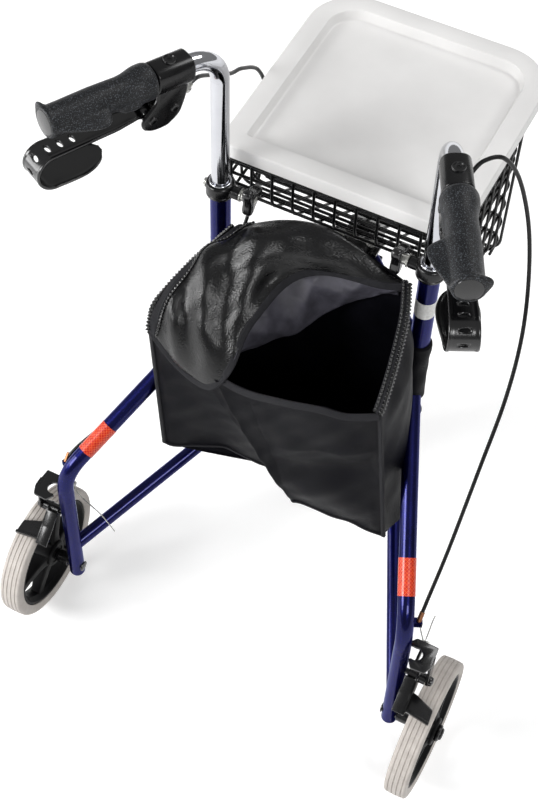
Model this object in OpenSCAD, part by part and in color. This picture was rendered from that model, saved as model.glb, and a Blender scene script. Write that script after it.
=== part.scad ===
// Three wheel rollator: folding frame, height set handles, rear shoe brakes,
// wire basket, tray and carrying bag. Millimetres, Z up, Y forward, floor at 0.

/* [Wheels] */
// outer diameter of all three wheels
wheel_d = 200; // [180:1:220]
// tyre width
wheel_w = 32; // [28:1:40]
// tyre depth from tread to rim
tyre_deep = 17; // [12:0.5:24]
// depth of the tread grooves
groove_deep = 1.6; // [0.5:0.1:3]
// width of a tread groove
groove_w = 2; // [1:0.1:4]
// number of tread grooves
groove_n = 4; // [2:1:6]
// distance between the middle planes of the rear wheels
track_w = 600; // [560:1:640]
// hub diameter
hub_d = 40; // [30:1:50]
// hub length along the axle
hub_w = 36; // [32:1:44]
// radial height of the rim ring
rim_ring = 10; // [6:0.5:14]
// rim ring width
rim_w = 26; // [20:1:32]
// number of spokes
spoke_n = 6; // [4:1:8]
// spoke width
spoke_w = 14; // [8:1:24]
// spoke thickness along the axle
spoke_t = 14; // [8:1:22]
// axle diameter
axle_d = 12; // [8:0.5:16]
// diameter of the cap on the axle's outer end
cap_d = 24; // [18:1:30]
// length of that cap
cap_len = 9; // [6:0.5:14]
// size of the axle's hexagon head
head_d = 18; // [14:0.5:22]
// length of the axle's head
head_len = 5; // [3:0.5:8]
// diameter of the spacer between post and hub
spacer_d = 18; // [14:0.5:22]

/* [Side frames] */
// upright distance from the middle plane
upright_x = 137; // [110:1:170]
// upright distance ahead of the rear axle
upright_y = 236; // [200:1:280]
// rear post distance inside its wheel's middle plane
post_in = 51; // [44:1:60]
// upright tube diameter
upright_d = 25.4; // [24:0.1:30]
// height of the closed lower end of the upright
upright_low = 200; // [180:1:260]
// height of the open upper end of the upright
upright_top = 726; // [680:1:760]
// thickness of the plug that closes the lower end
plug_h = 8; // [4:1:20]
// upper rail and rear post diameter
rail_d = 22; // [20:0.5:26]
// height where the upper rail axis meets the upright axis
rail_top_z = 492; // [440:1:540]
// height of the corner between upper rail and rear post
bend_z = 331; // [300:1:370]
// bend radius of that corner, on the tube axis
bend_r = 60; // [40:1:90]
// height of the domed lower end of the rear post
post_low = 76; // [60:1:95]
// lower rail diameter
low_rail_d = 19; // [16:0.5:22]
// lower rail height at the rear post
low_rail_rear_z = 150; // [130:1:180]
// lower rail height at the upright
low_rail_front_z = 219; // [212:1:250]
// start of the reflective tape along the upper rail
tape_from = 215; // [180:1:225]
// length of the reflective tape
tape_len = 48; // [20:1:50]
// thickness of the reflective tape
tape_t = 0.4; // [0.2:0.1:1]
// cable stop's distance ahead of the rear post's axis, along the frame
stop_ahead = 16.228; // [11:0.001:26]
// cable stop distance outward from the frame plane
stop_out = 17.5; // [15:0.5:22]
// height of the cable stop's upper face
stop_z = 330; // [322:1:338]
// cable stop width and length
stop_w = 9; // [6:0.5:12]
// cable stop height
stop_h = 10; // [6:0.5:16]

/* [Fold head] */
// fold pin distance from the middle plane
hinge_x = 21; // [18:0.5:30]
// fold pin distance ahead of the rear axle
hinge_y = 345; // [330:1:380]
// fold pin diameter
pin_d = 8; // [6:0.5:10]
// head of the fold pin
pin_head_d = 13; // [10:0.5:16]
// height of the pin head
pin_head_h = 5; // [3:0.5:8]
// height of the upper arms
arm_high_z = 572; // [540:1:576]
// height of the lower arms
arm_low_z = 252; // [246:1:300]
// arm tube diameter
arm_d = 19; // [16:0.5:22]
// knuckle diameter on the fold pin
knuckle_d = 20; // [16:0.5:24]
// knuckle height
knuckle_h = 24; // [20:1:34]
// steering column distance ahead of the rear axle
column_y = 385; // [375:1:410]
// steering column diameter
column_d = 30; // [26:1:36]
// height of the column's lower end
column_low = 223; // [221:0.5:226]
// height of the column's upper end
column_top = 562; // [540:1:565]
// thickness of the two head plates
plate_t = 6; // [4:0.5:8]
// half width of the head plates at the pins
plate_half = 33; // [30:1:40]
// thickness of the cap plate over the knuckles
cap_t = 4; // [3:0.5:6]
// depth of the cap plate, front to rear
cap_deep = 24; // [20:1:30]
// catch bar diameter
catch_d = 12; // [8:0.5:14]
// catch bar length
catch_len = 36; // [28:1:40]
// catch bar distance behind the fold pins
catch_back = 20; // [17:0.5:26]
// catch ear thickness
ear_t = 3.5; // [2.5:0.5:5]
// catch ear radius
ear_r = 9.5; // [8:0.5:12]
// catch pivot diameter
catch_pin_d = 5; // [4:0.5:8]
// catch finger length
finger_len = 18; // [12:1:24]
// catch finger thickness
finger_t = 4; // [3:0.5:6]

/* [Front caster] */
// caster trail from the steering axis, the wheel swung ahead
trail = 45; // [30:1:60]
// steering stem diameter
stem_d = 16; // [12:0.5:20]
// free length of the column above the stem's end
stem_under = 22; // [5:1:120]
// fork crown height above the floor
crown_z = 212; // [206:1:213]
// fork crown thickness
crown_t = 8; // [5:0.5:8]
// fork leg thickness
leg_t = 5; // [4:0.5:8]
// fork leg width at the axle
leg_w = 30; // [24:1:40]
// free gap between hub and fork leg
leg_gap = 0.8; // [0.4:0.1:3]
// crown radius around the steering axis
crown_r = 24; // [20:1:30]

/* [Handles] */
// handle tube diameter
handle_d = 22; // [19:0.5:25]
// handle turn out from the frame plane
handle_turn = 1.6; // [0:0.1:6]
// height where the handle's two tube axes meet
corner_z = 932; // [840:1:980]
// rise of the handle toward its rear end
handle_rise = 4; // [0:0.5:10]
// handle bend radius on the tube axis
handle_bend_r = 42; // [34:1:60]
// height of the tube's lower end inside the upright
handle_low = 500; // [420:1:600]
// start of the grip along the handle axis
grip_from = 90; // [80:1:110]
// grip length
grip_len = 130; // [110:1:140]
// grip waist diameter
grip_d = 34; // [30:0.5:38]
// diameter of the grip's front ring
grip_ring_d = 41; // [36:0.5:44]
// diameter of the grip's rear flare
grip_flare_d = 42; // [36:0.5:42]
// reach of the palm rest beyond the grip's axis
palm_reach = 36; // [22:1:40]
// palm rest thickness
palm_t = 9; // [5:0.5:12]
// distance of the tube's end from the grip's rear end
tube_short = 6; // [3:0.5:12]
// collar outer diameter
collar_d = 35; // [32:0.5:40]
// collar height
collar_h = 20; // [18:1:40]
// height of the collar above the upright's upper end
collar_over = 5; // [3:0.5:10]
// boss diameter on the collar's inner side
boss_d = 16; // [12:0.5:20]
// boss reach from the upright axis
boss_reach = 27; // [22:0.5:32]
// knob axis under the upright's upper end
knob_under = 6; // [5.5:0.5:12]
// knob stud diameter
stud_d = 8; // [6:0.5:10]
// radius of the knob's middle
knob_r = 12; // [9:0.5:16]
// radius of a knob lobe
lobe_r = 7.5; // [6:0.5:10]
// distance of a lobe from the knob axis
lobe_off = 14; // [10:0.5:18]
// knob thickness
knob_t = 13; // [8:0.5:18]
// knob neck length between boss and knob
neck_len = 7; // [4:0.5:12]
// bolt head diameter on the collar's outer side
bolt_head_d = 10; // [8:0.5:13]
// bolt head height
bolt_head_h = 5; // [3:0.5:8]
// bolt shank diameter
bolt_d = 5; // [4:0.5:8]

/* [Brakes] */
// start of the clamp along the handle axis
clamp_from = 42; // [40:1:50]
// clamp length
clamp_len = 47; // [36:1:48]
// clamp outer diameter
clamp_d = 36; // [32:0.5:40]
// width of the housing under the clamp
housing_w = 26; // [22:0.5:30]
// reach of the housing's rear end along the handle axis
housing_len = 108; // [100:1:112]
// depth of the housing below the handle axis
housing_deep = 64; // [58:1:70]
// start of the lever's slot ahead of its pivot
slot_ahead = 10; // [9:0.5:14]
// length of the lever's slot
slot_len = 32; // [28:1:40]
// depth of the slot's lower end below the handle axis
slot_low = 72; // [66:1:80]
// depth of the slot's upper end below the handle axis
slot_high = 30; // [26:1:34]
// lever pivot position along the handle axis
lever_at = 94; // [88:1:98]
// lever pivot distance below the handle axis
lever_down = 46.5; // [42:0.5:50]
// lever hub radius
lever_hub_r = 8; // [6:0.5:9]
// lever neck width
lever_neck_w = 15; // [12:0.5:18]
// lever pivot diameter
lever_pin_d = 6; // [5:0.5:8]
// lever band thickness
band_t = 3.2; // [2.4:0.1:4]
// lever band width under the grip
band_w = 26; // [20:1:32]
// lever band distance below the handle axis
band_down = 38.5; // [36:0.5:42]
// front end of the band along the handle axis
band_from = 112; // [110:1:116]
// rear end of the straight band
band_to = 218; // [205:1:224]
// loop radius at the rear end
loop_r = 20; // [15:0.5:24]
// loop width
loop_w = 33; // [28:1:38]
// oval paddle length
paddle_len = 66; // [50:1:76]
// oval paddle width
paddle_w = 46; // [36:1:52]
// rise of the paddle toward its front end
paddle_rise = 9; // [0:1:14]
// size of the holes in the band
band_hole_d = 8; // [5:0.5:10]
// distance between the holes
hole_step = 15; // [12:0.5:20]
// number of holes in the straight band
hole_n = 3; // [2:1:5]
// cable adjuster diameter
adjuster_d = 7; // [5:0.5:9]
// cable adjuster length
adjuster_len = 20; // [16:1:24]
// outward turn of the cable adjuster
adjuster_turn = 25; // [0:1:30]
// adjuster nut diameter
adjuster_nut_d = 11; // [8:0.5:13]
// adjuster nut length
nut_len = 6; // [4:0.5:8]
// adjuster nut distance from the housing end of the adjuster
nut_at = 8; // [6:0.5:10]
// adjuster distance below the handle axis
adjuster_down = 45; // [40:0.5:48]
// adjuster distance outward from the handle axis
adjuster_out = 7; // [4:0.5:9]
// adjuster place along the handle axis
adjuster_at = 44; // [42:0.5:47]
// cable diameter
cable_d = 5; // [4:0.1:6]
// brake pivot height
brake_z = 232; // [228:0.5:240]
// brake pivot diameter
brake_pin_d = 8; // [6:0.5:10]
// bracket plate thickness
bracket_t = 4; // [3:0.5:6]
// bracket plate lower edge above the floor
bracket_low = 254; // [250:1:262]
// bracket plate upper edge above the floor
bracket_top = 296; // [280:1:300]
// outer face of the bracket from the post axis
bracket_out = 44; // [40:0.5:48]
// arm sleeve diameter
sleeve_d = 15; // [12:0.5:18]
// sleeve start from the post axis
sleeve_in = 15; // [13:0.5:18]
// sleeve length
sleeve_len = 24; // [18:0.5:24.5]
// shoe length along the tread
shoe_len = 34; // [24:1:44]
// shoe width across the tread
shoe_w = 44; // [36:1:50]
// shoe thickness
shoe_t = 6; // [4:0.5:9]
// free gap between shoe and tread
shoe_gap = 3.6; // [3:0.1:6]
// shoe angle behind the wheel's top
shoe_ang = 15; // [8:1:30]
// cable clamp distance ahead of the brake pivot
clamp_fwd = 40; // [30:1:48]
// cable clamp height above the brake pivot
clamp_up = 12; // [4:1:18]

/* [Basket and tray] */
// distance of the basket's side inside the tray's edge
basket_inset = 2; // [0:0.5:12]
// rear wall distance ahead of the rear axle
basket_rear_y = 263; // [258:1:280]
// front wall distance ahead of the rear axle
basket_front_y = 478; // [440:1:520]
// height of the basket's upper edge
basket_top = 744.9; // [700:0.1:760]
// lower edge of the rear wall
basket_rear_low = 684; // [660:1:700]
// lower edge of the front wall
basket_front_low = 520; // [500:1:560]
// wire thickness
wire_d = 4; // [2.5:0.5:5]
// distance from wire to wire
wire_step = 34; // [24:1:40]
// width of the carrier between column and basket
carrier_w = 40; // [30:1:60]
// tray width
tray_w = 316; // [280:1:340]
// tray rear edge distance ahead of the rear axle
tray_rear_y = 262; // [255:1:275]
// tray length, rear to front
tray_len = 318; // [260:1:330]
// tray height
tray_h = 20; // [14:1:30]
// height of the tray's lower edge
tray_low = 745; // [700:0.5:760]
// corner radius at the rear
tray_rear_r = 14; // [8:1:30]
// corner radius at the front
tray_front_r = 66; // [20:1:80]
// flat rim width
tray_rim = 26; // [15:1:36]
// recess depth
tray_recess = 14; // [8:1:18]
// wall thickness
tray_t = 3; // [2:0.5:4]

/* [Bag] */
// half width at the rear panel
bag_rear_half = 156; // [120:1:165]
// half width at the front panel
bag_front_half = 112; // [90:1:118]
// rear panel distance ahead of the rear axle
bag_rear_y = 92; // [80:1:110]
// front panel distance ahead of the rear axle
bag_front_y = 214; // [190:1:218]
// height of the bag's bottom
bag_low = 316; // [300:1:340]
// height of the rear panel's upper edge
bag_rear_top = 604; // [560:1:620]
// height of the front panel's upper edge
bag_front_top = 650; // [600:1:670]
// wall thickness
bag_t = 4; // [2:0.5:6]
// upper wraps' lower edge under the bag's front top
wrap_under = 134; // [130:1:138]
// lower wraps' lower edge over the bag's bottom
wrap_over = 94; // [74:1:114]
// wrap height
wrap_h = 40; // [20:1:46]
// free gap between wrap and upright
wrap_gap = 0.4; // [0.3:0.1:1]
// wrap thickness
wrap_t = 2.5; // [1.5:0.5:4]
// share of the mouth that the lid covers
lid_share = 0.36; // [0.2:0.02:0.6]
// lid thickness
lid_t = 5; // [3:0.5:8]

/* [Fits] */
// radial clearance of parts that turn or slide
run_clear = 0.08; // [0.02:0.01:0.1]
// radial clearance of parts that are fixed
fit_clear = 0.05; // [0.02:0.01:0.1]
// side gap between parts that turn on each other
side_gap = 0.5; // [0.3:0.1:1]
// drawn down tube diameter inside a bend
bend_step = 0.1; // [0.05:0.05:0.4]
// length of straight tube drawn into a bend
bend_lap = 1; // [0.5:0.5:2]
// extra length of a cutting shape
cut_more = 2; // [1:0.5:5]

/* [Hidden] */
$fn = 48;
// rear axle line, so that the outline is centred front to rear
axle_y = -(tray_rear_y + tray_len - wheel_d / 2) / 2;
post_x = track_w / 2 - post_in;
side_ang = atan2(post_x - upright_x, upright_y);
side_run = norm([post_x - upright_x, upright_y]);
stop_back = side_run - stop_ahead;
bore_d = handle_d + 2 * run_clear;
rail_slope = atan2(rail_top_z - bend_z, side_run);
rail_turn = 90 - rail_slope;
bend_tan = bend_r * tan(rail_turn / 2);
rail_len = norm([side_run, rail_top_z - bend_z]) - bend_tan;
low_rail_rise = low_rail_front_z - low_rail_rear_z;
low_rail_slope = atan2(low_rail_rise, side_run);
low_rail_len = norm([side_run, low_rail_rise]);
arm_ang = atan2(upright_x - hinge_x, hinge_y - upright_y);
arm_len = norm([upright_x - hinge_x, hinge_y - upright_y]);
high_plate_z = arm_high_z - knuckle_h / 2 - side_gap - plate_t;
low_plate_z = arm_low_z - knuckle_h / 2 - side_gap - plate_t;
cap_z = arm_high_z + knuckle_h / 2 + side_gap;
catch_z = cap_z + cap_t + ear_r / 2;
wheel_r = wheel_d / 2;
rim_r = wheel_r - tyre_deep;
fork_in = hub_w / 2 + leg_gap;
stem_len = column_top - stem_under - crown_z - crown_t;
wheel_y = column_y + trail;
handle_turn_ang = 90 - handle_rise;
handle_tan = handle_bend_r * tan(handle_turn_ang / 2);
grip_end = grip_from + grip_len;
tube_end = grip_end - tube_short;
collar_low = upright_top + collar_over - collar_h;
knob_z = upright_top - knob_under;
pin_from = low_plate_z - pin_head_h;
pin_top = cap_z + cap_t;
basket_half = tray_w / 2 - basket_inset;
floor_run = basket_front_y - basket_rear_y;
floor_fall = basket_rear_low - basket_front_low;
floor_slope = atan2(floor_fall, floor_run);
floor_len = (floor_run - 2 * wire_d - fit_clear) / cos(floor_slope) - wire_d * tan(floor_slope);
inner_half = basket_half - wire_d - fit_clear;
// grip outline as shares of its length, front ring to rear flare
grip_shares = [0, 0.03, 0.1, 0.17, 0.26, 0.4, 0.55, 0.7, 0.82, 0.9, 0.95, 0.98, 1];
// grip radii there as shares of the radius of the ring, the waist and the flare
ring_shares = [0.9, 1, 1];
waist_shares = [1.09, 0.97, 1.03, 1.06, 1.03, 1, 1.06];
flare_shares = [0.93, 1, 0.9];
grip_radii = concat(ring_shares * grip_ring_d / 2, waist_shares * grip_d / 2,
    flare_shares * grip_flare_d / 2);
// housing side outline as shares of its reach along the handle axis and of its depth below it
housing_shares = [[0.426, 0], [0.407, 0.469], [0.352, 0.594], [0.426, 0.813], [0.648, 1], [0.852, 1],
    [0.981, 0.875], [1, 0.688], [0.907, 0.531], [0.815, 0.375], [0.815, 0]];
// domed lower end of the rear post as shares of its diameter: radius, height
dome_shares = [[0.28, 0], [0.42, 0.12], [0.5, 0.3]];
// palm rest: where it starts and how far it runs as shares of the grip's length, how far its widest place
// lies ahead, and how full its edge is
palm_from_share = 0.43;
palm_run_share = 0.55;
palm_ahead_share = 0.62;
palm_full_share = 0.7;
palm_steps = 12;
// brake arm's root and clamp eye as shares of the sleeve's diameter
arm_root_share = 0.4;
clamp_eye_share = 0.8;
// how far the basket side's lower front corner keeps from its edge, as a share of the wire
corner_share = 1.6;
// cable routes on each side: outward, ahead of the rear axle, above the floor
route_right = [[164, 219, 889], [165, 234, 894], [172, 250, 901], [188, 268, 896], [205, 288, 852],
    [224, 298, 775], [241, 285, 698], [255, 250, 640], [262, 205, 580], [262, 150, 505], [260, 90, 405],
    [258, 45, 350], [258, 24, 332.4]];
route_left = [[164, 219, 889], [164, 240, 881], [165, 285, 846], [167, 320, 819], [169, 352, 800],
    [172, 400, 758], [174, 428, 700], [171, 425, 630], [167, 390, 555], [166, 330, 500], [176, 250, 460],
    [199, 150, 408], [226, 80, 372], [250, 40, 346], [258, 24, 332.4]];
// faces round a cable, and steps from one route point to the next
cable_sides = 8;
cable_steps = 4;
// direction that the cable's section is turned from
lean_shares = [1, 0.2, 0.1];

paint = [0.16, 0.17, 0.36];
chrome = [0.78, 0.78, 0.8];
steel = [0.6, 0.6, 0.62];
black = [0.08, 0.08, 0.09];
rubber = [0.7, 0.69, 0.68];
white = [0.86, 0.85, 0.84];
cloth = [0.1, 0.1, 0.11];
tape = [0.85, 0.25, 0.15];

// places
module at_collar() at_side() rotate([0, 0, -side_ang]) children();
module at_side() translate([upright_x, upright_y + axle_y, 0]) rotate([0, 0, side_ang]) children();
module at_pin() translate([hinge_x, hinge_y + axle_y, 0]) rotate([0, 0, arm_ang]) children();
module at_post() translate([post_x, axle_y, 0]) children();
module at_wheel() translate([track_w / 2, axle_y, wheel_r]) rotate([0, 90, 0]) children();
module at_handle() at_side() rotate([0, 0, handle_turn]) children();
module at_grip() at_handle() translate([0, 0, corner_z]) rotate([90 - handle_rise, 0, 0]) children();
module at_front() translate([0, wheel_y + axle_y, wheel_r]) rotate([0, 90, 0]) children();
module flip() mirror([1, 0, 0]) children();
// a side outline drawn as [along the handle, up], given width across the handle
module side_plate(w) rotate([0, -90, 0]) translate([0, 0, -w / 2]) linear_extrude(w) children();

// fold head
module head_column() color(paint) translate([0, column_y + axle_y, 0]) difference() {
    translate([0, 0, column_low]) cylinder(d = column_d, h = column_top - column_low);
    translate([0, 0, column_low - cut_more])
        cylinder(d = stem_d + 2 * run_clear, h = stem_len + crown_z + crown_t - column_low + 2 * cut_more);
}
module head_outline() {
    translate([-plate_half, hinge_y - knuckle_d / 2]) square([2 * plate_half, knuckle_d + pin_head_h]);
    translate([-column_d / 2, hinge_y]) square([column_d, column_y - hinge_y]);
    translate([0, column_y]) circle(r = column_d / 2 + plate_t);
}
module head_plate(z) translate([0, axle_y, z]) difference() {
    linear_extrude(plate_t) head_outline();
    translate([0, column_y, -cut_more]) cylinder(d = column_d + 2 * fit_clear, h = plate_t + 2 * cut_more);
    for (s = [-1, 1]) translate([s * hinge_x, hinge_y, -cut_more])
        cylinder(d = pin_d + 2 * fit_clear, h = plate_t + 2 * cut_more);
}
module head_top_plate() color(black) head_plate(high_plate_z);
module head_low_plate() color(black) head_plate(low_plate_z);
module hinge_pin() translate([hinge_x, hinge_y + axle_y, 0]) {
    translate([0, 0, pin_from]) cylinder(d = pin_d, h = pin_top - pin_from + cut_more);
    translate([0, 0, pin_from]) cylinder(d = pin_head_d, h = pin_head_h - fit_clear, $fn = 6);
    translate([0, 0, pin_top + fit_clear]) cylinder(d = pin_head_d, h = pin_head_h);
}
module hinge_pin_right() color(steel) hinge_pin();
module hinge_pin_left() color(steel) flip() hinge_pin();
module hinge_cap() color(black) translate([0, hinge_y + axle_y, 0]) difference() {
    union() {
        translate([-plate_half, -cap_deep / 2, cap_z]) cube([2 * plate_half, cap_deep, cap_t]);
        for (s = [0, 1]) mirror([s, 0, 0]) translate([catch_len / 2 + side_gap, 0, 0]) {
            translate([0, -catch_back, catch_z]) rotate([0, 90, 0]) cylinder(r = ear_r, h = ear_t);
            translate([0, -catch_back - ear_t, cap_z]) cube([ear_t, catch_back, cap_t]);
        }
    }
    for (s = [-1, 1]) translate([s * hinge_x, 0, cap_z - cut_more])
        cylinder(d = pin_d + 2 * fit_clear, h = cap_t + 2 * cut_more);
    translate([0, -catch_back, catch_z]) rotate([0, 90, 0])
        cylinder(d = catch_pin_d + 2 * run_clear, h = 2 * plate_half, center = true);
}
module fold_catch() color(chrome) translate([0, hinge_y + axle_y - catch_back, catch_z]) rotate([0, 90, 0]) {
    cylinder(d = catch_d, h = catch_len, center = true);
    cylinder(d = catch_pin_d, h = catch_len + 2 * ear_t + side_gap, center = true);
    translate([-finger_t / 2, -finger_len, -catch_len / 3]) cube([finger_t, finger_len, 2 * catch_len / 3]);
}

// front caster
module fork() color(black) translate([0, axle_y, 0]) {
    translate([0, column_y, crown_z]) cylinder(r = crown_r, h = crown_t);
    translate([0, column_y, crown_z]) cylinder(d = stem_d, h = crown_t + stem_len);
    translate([-fork_in - leg_t, column_y, crown_z]) cube([2 * (fork_in + leg_t), trail, crown_t]);
    for (s = [0, 1]) mirror([s, 0, 0]) difference() {
        translate([fork_in, 0, 0]) rotate([90, 0, 90]) linear_extrude(leg_t) {
            translate([wheel_y, wheel_r]) circle(d = leg_w);
            polygon([[wheel_y - leg_w / 2, wheel_r], [wheel_y + leg_w / 2, wheel_r],
                [wheel_y, crown_z + crown_t], [column_y, crown_z + crown_t]]);
        }
        translate([0, wheel_y, wheel_r]) rotate([0, 90, 0])
            cylinder(d = axle_d + 2 * fit_clear, h = 4 * fork_in);
    }
}
module front_axle() color(steel) at_front() {
    cylinder(d = axle_d, h = 2 * (fork_in + leg_t), center = true);
    for (s = [0, 1]) mirror([0, 0, s]) translate([0, 0, fork_in + leg_t + fit_clear])
        cylinder(d = head_d, h = head_len, $fn = 6);
    for (s = [0, 1]) mirror([0, 0, s]) translate([0, 0, fork_in + leg_t - cut_more])
        cylinder(d = axle_d, h = 2 * cut_more);
}

// wheels
module tyre() rotate_extrude($fn = 96) difference() {
    translate([rim_r, -wheel_w / 2]) polygon([[0, 0], [tyre_deep - groove_w, 0], [tyre_deep, 2 * groove_w],
        [tyre_deep, wheel_w - 2 * groove_w], [tyre_deep - groove_w, wheel_w], [0, wheel_w]]);
    for (i = [1 : groove_n]) translate([wheel_r - groove_deep, -wheel_w / 2 + i * wheel_w / (groove_n + 1)
        - groove_w / 2]) square([2 * groove_deep, groove_w]);
}
module rim() difference() {
    union() {
        difference() {
            cylinder(r = rim_r - fit_clear, h = rim_w, center = true, $fn = 96);
            cylinder(r = rim_r - rim_ring, h = rim_w + cut_more, center = true, $fn = 96);
        }
        cylinder(d = hub_d, h = hub_w, center = true);
        for (i = [0 : spoke_n - 1]) rotate([0, 0, i * 360 / spoke_n])
            translate([hub_d / 3, -spoke_w / 2, -spoke_t / 2])
                cube([rim_r - rim_ring / 2 - hub_d / 3, spoke_w, spoke_t]);
    }
    cylinder(d = axle_d + 2 * run_clear, h = hub_w + cut_more, center = true);
}
module rear_axle() {
    translate([0, 0, -post_in - rail_d / 2 - head_len])
        cylinder(d = head_d, h = head_len - side_gap / 2, $fn = 6);
    translate([0, 0, -post_in - rail_d / 2 - head_len])
        cylinder(d = axle_d, h = post_in + rail_d / 2 + head_len + hub_w / 2 + side_gap + cap_len);
    translate([0, 0, -post_in + rail_d / 2 + side_gap / 2])
        cylinder(d = spacer_d, h = post_in - rail_d / 2 - hub_w / 2 - side_gap);
    translate([0, 0, hub_w / 2 + side_gap]) cylinder(d = cap_d, h = cap_len);
}
module front_tyre() color(rubber) at_front() tyre();
module front_rim() color(black) at_front() rim();
module rear_tyre_right() color(rubber) at_wheel() tyre();
module rear_tyre_left() color(rubber) flip() at_wheel() tyre();
module rear_rim_right() color(black) at_wheel() rim();
module rear_rim_left() color(black) flip() at_wheel() rim();
module rear_axle_right() color(black) at_wheel() rear_axle();
module rear_axle_left() color(black) flip() at_wheel() rear_axle();

// side frames
module upright() difference() {
    translate([0, 0, upright_low]) cylinder(d = upright_d, h = upright_top - upright_low);
    translate([0, 0, upright_low + plug_h]) cylinder(d = bore_d, h = upright_top - upright_low);
    translate([0, 0, knob_z]) rotate([0, -90, -side_ang]) cylinder(d = stud_d + 2 * run_clear, h = upright_d);
}
module upright_cut() translate([0, 0, upright_low - cut_more])
    cylinder(d = upright_d + 2 * fit_clear, h = upright_top - upright_low);
module post_end() rotate_extrude() polygon(concat([[0, 0]], dome_shares * rail_d,
    [[rail_d / 2, bend_z - bend_tan - post_low + bend_lap], [0, bend_z - bend_tan - post_low + bend_lap]]));
module upper_rail() difference() {
    union() {
        translate([0, 0, rail_top_z]) rotate([90 + rail_slope, 0, 0])
            cylinder(d = rail_d, h = rail_len + bend_lap);
        translate([0, bend_r - side_run, bend_z - bend_tan]) rotate([90, 0, 90])
            rotate([0, 0, 180 - rail_turn]) rotate_extrude(angle = rail_turn)
                translate([bend_r, 0]) circle(d = rail_d - bend_step);
        translate([0, -side_run, post_low]) post_end();
        translate([0, -stop_back - stop_w / 2, stop_z - stop_h])
            cube([stop_out + stop_w / 2, stop_w, stop_h]);
    }
    upright_cut();
    translate([0, -side_run, wheel_r]) rotate([0, 0, -side_ang]) rotate([0, 90, 0])
        cylinder(d = axle_d + 2 * fit_clear, h = 2 * rail_d, center = true);
    translate([0, -side_run, brake_z]) rotate([0, 0, -side_ang]) rotate([0, 90, 0])
        cylinder(d = brake_pin_d + 2 * fit_clear, h = rail_d);
}
module lower_rail() difference() {
    translate([0, -side_run, low_rail_rear_z]) rotate([low_rail_slope - 90, 0, 0])
        cylinder(d = low_rail_d, h = low_rail_len);
    upright_cut();
    translate([0, -side_run, post_low]) cylinder(d = rail_d + 2 * fit_clear, h = bend_z - post_low);
}
module arm(z) difference() {
    union() {
        translate([0, 0, z - knuckle_h / 2]) cylinder(d = knuckle_d, h = knuckle_h);
        translate([0, 0, z]) rotate([90, 0, 0]) cylinder(d = arm_d, h = arm_len);
    }
    translate([0, 0, z - knuckle_h]) cylinder(d = pin_d + 2 * run_clear, h = 2 * knuckle_h);
    translate([0, -arm_len, 0]) upright_cut();
}
module reflector() translate([0, 0, rail_top_z]) rotate([90 + rail_slope, 0, 0]) translate([0, 0, tape_from])
    difference() {
        cylinder(d = rail_d + 2 * (fit_clear + tape_t), h = tape_len);
        translate([0, 0, -cut_more]) cylinder(d = rail_d + 2 * fit_clear, h = tape_len + 2 * cut_more);
    }
module collar() difference() {
    union() {
        translate([0, 0, collar_low]) cylinder(d = collar_d, h = collar_h);
        translate([0, 0, knob_z]) rotate([0, -90, 0]) cylinder(d = boss_d, h = boss_reach);
    }
    translate([0, 0, collar_low - cut_more]) cylinder(d = upright_d + 2 * fit_clear,
        h = upright_top - collar_low + cut_more + fit_clear);
    cylinder(d = bore_d, h = corner_z);
    translate([0, 0, knob_z]) rotate([0, -90, 0]) cylinder(d = stud_d + 2 * run_clear, h = 2 * boss_reach);
    translate([0, 0, knob_z]) rotate([0, 90, 0]) cylinder(d = bolt_d + 2 * fit_clear, h = collar_d);
}
module collar_bolt() translate([0, 0, knob_z]) rotate([0, 90, 0]) {
    translate([0, 0, upright_d / 2 + side_gap / 2])
        cylinder(d = bolt_d, h = (collar_d - upright_d) / 2 + cut_more);
    translate([0, 0, collar_d / 2 + fit_clear]) cylinder(d = bolt_head_d, h = bolt_head_h);
}
module height_knob() translate([0, 0, knob_z]) rotate([0, -90, 0]) {
    translate([0, 0, handle_d / 2 + side_gap]) cylinder(d = stud_d, h = boss_reach + neck_len);
    translate([0, 0, boss_reach + side_gap]) cylinder(d = boss_d, h = neck_len + cut_more);
    translate([0, 0, boss_reach + neck_len]) linear_extrude(knob_t) {
        circle(r = knob_r);
        for (i = [0 : 2]) rotate(i * 120) {
            translate([lobe_off, 0]) circle(r = lobe_r);
            translate([0, -lobe_r]) square([lobe_off, 2 * lobe_r]);
        }
    }
}
module upright_right() color(paint) at_side() upright();
module upright_left() color(paint) flip() at_side() upright();
module upper_rail_right() color(paint) at_side() upper_rail();
module upper_rail_left() color(paint) flip() at_side() upper_rail();
module lower_rail_right() color(paint) at_side() lower_rail();
module lower_rail_left() color(paint) flip() at_side() lower_rail();
module upper_arm_right() color(paint) at_pin() arm(arm_high_z);
module upper_arm_left() color(paint) flip() at_pin() arm(arm_high_z);
module lower_arm_right() color(paint) at_pin() arm(arm_low_z);
module lower_arm_left() color(paint) flip() at_pin() arm(arm_low_z);
module reflector_right() color(tape) at_side() reflector();
module reflector_left() color(tape) flip() at_side() reflector();
module collar_right() color(black) at_collar() collar();
module collar_left() color(black) flip() at_collar() collar();
module collar_bolt_right() color(steel) at_collar() collar_bolt();
module collar_bolt_left() color(steel) flip() at_collar() collar_bolt();
module height_knob_right() color(black) at_collar() height_knob();
module height_knob_left() color(black) flip() at_collar() height_knob();

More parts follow.
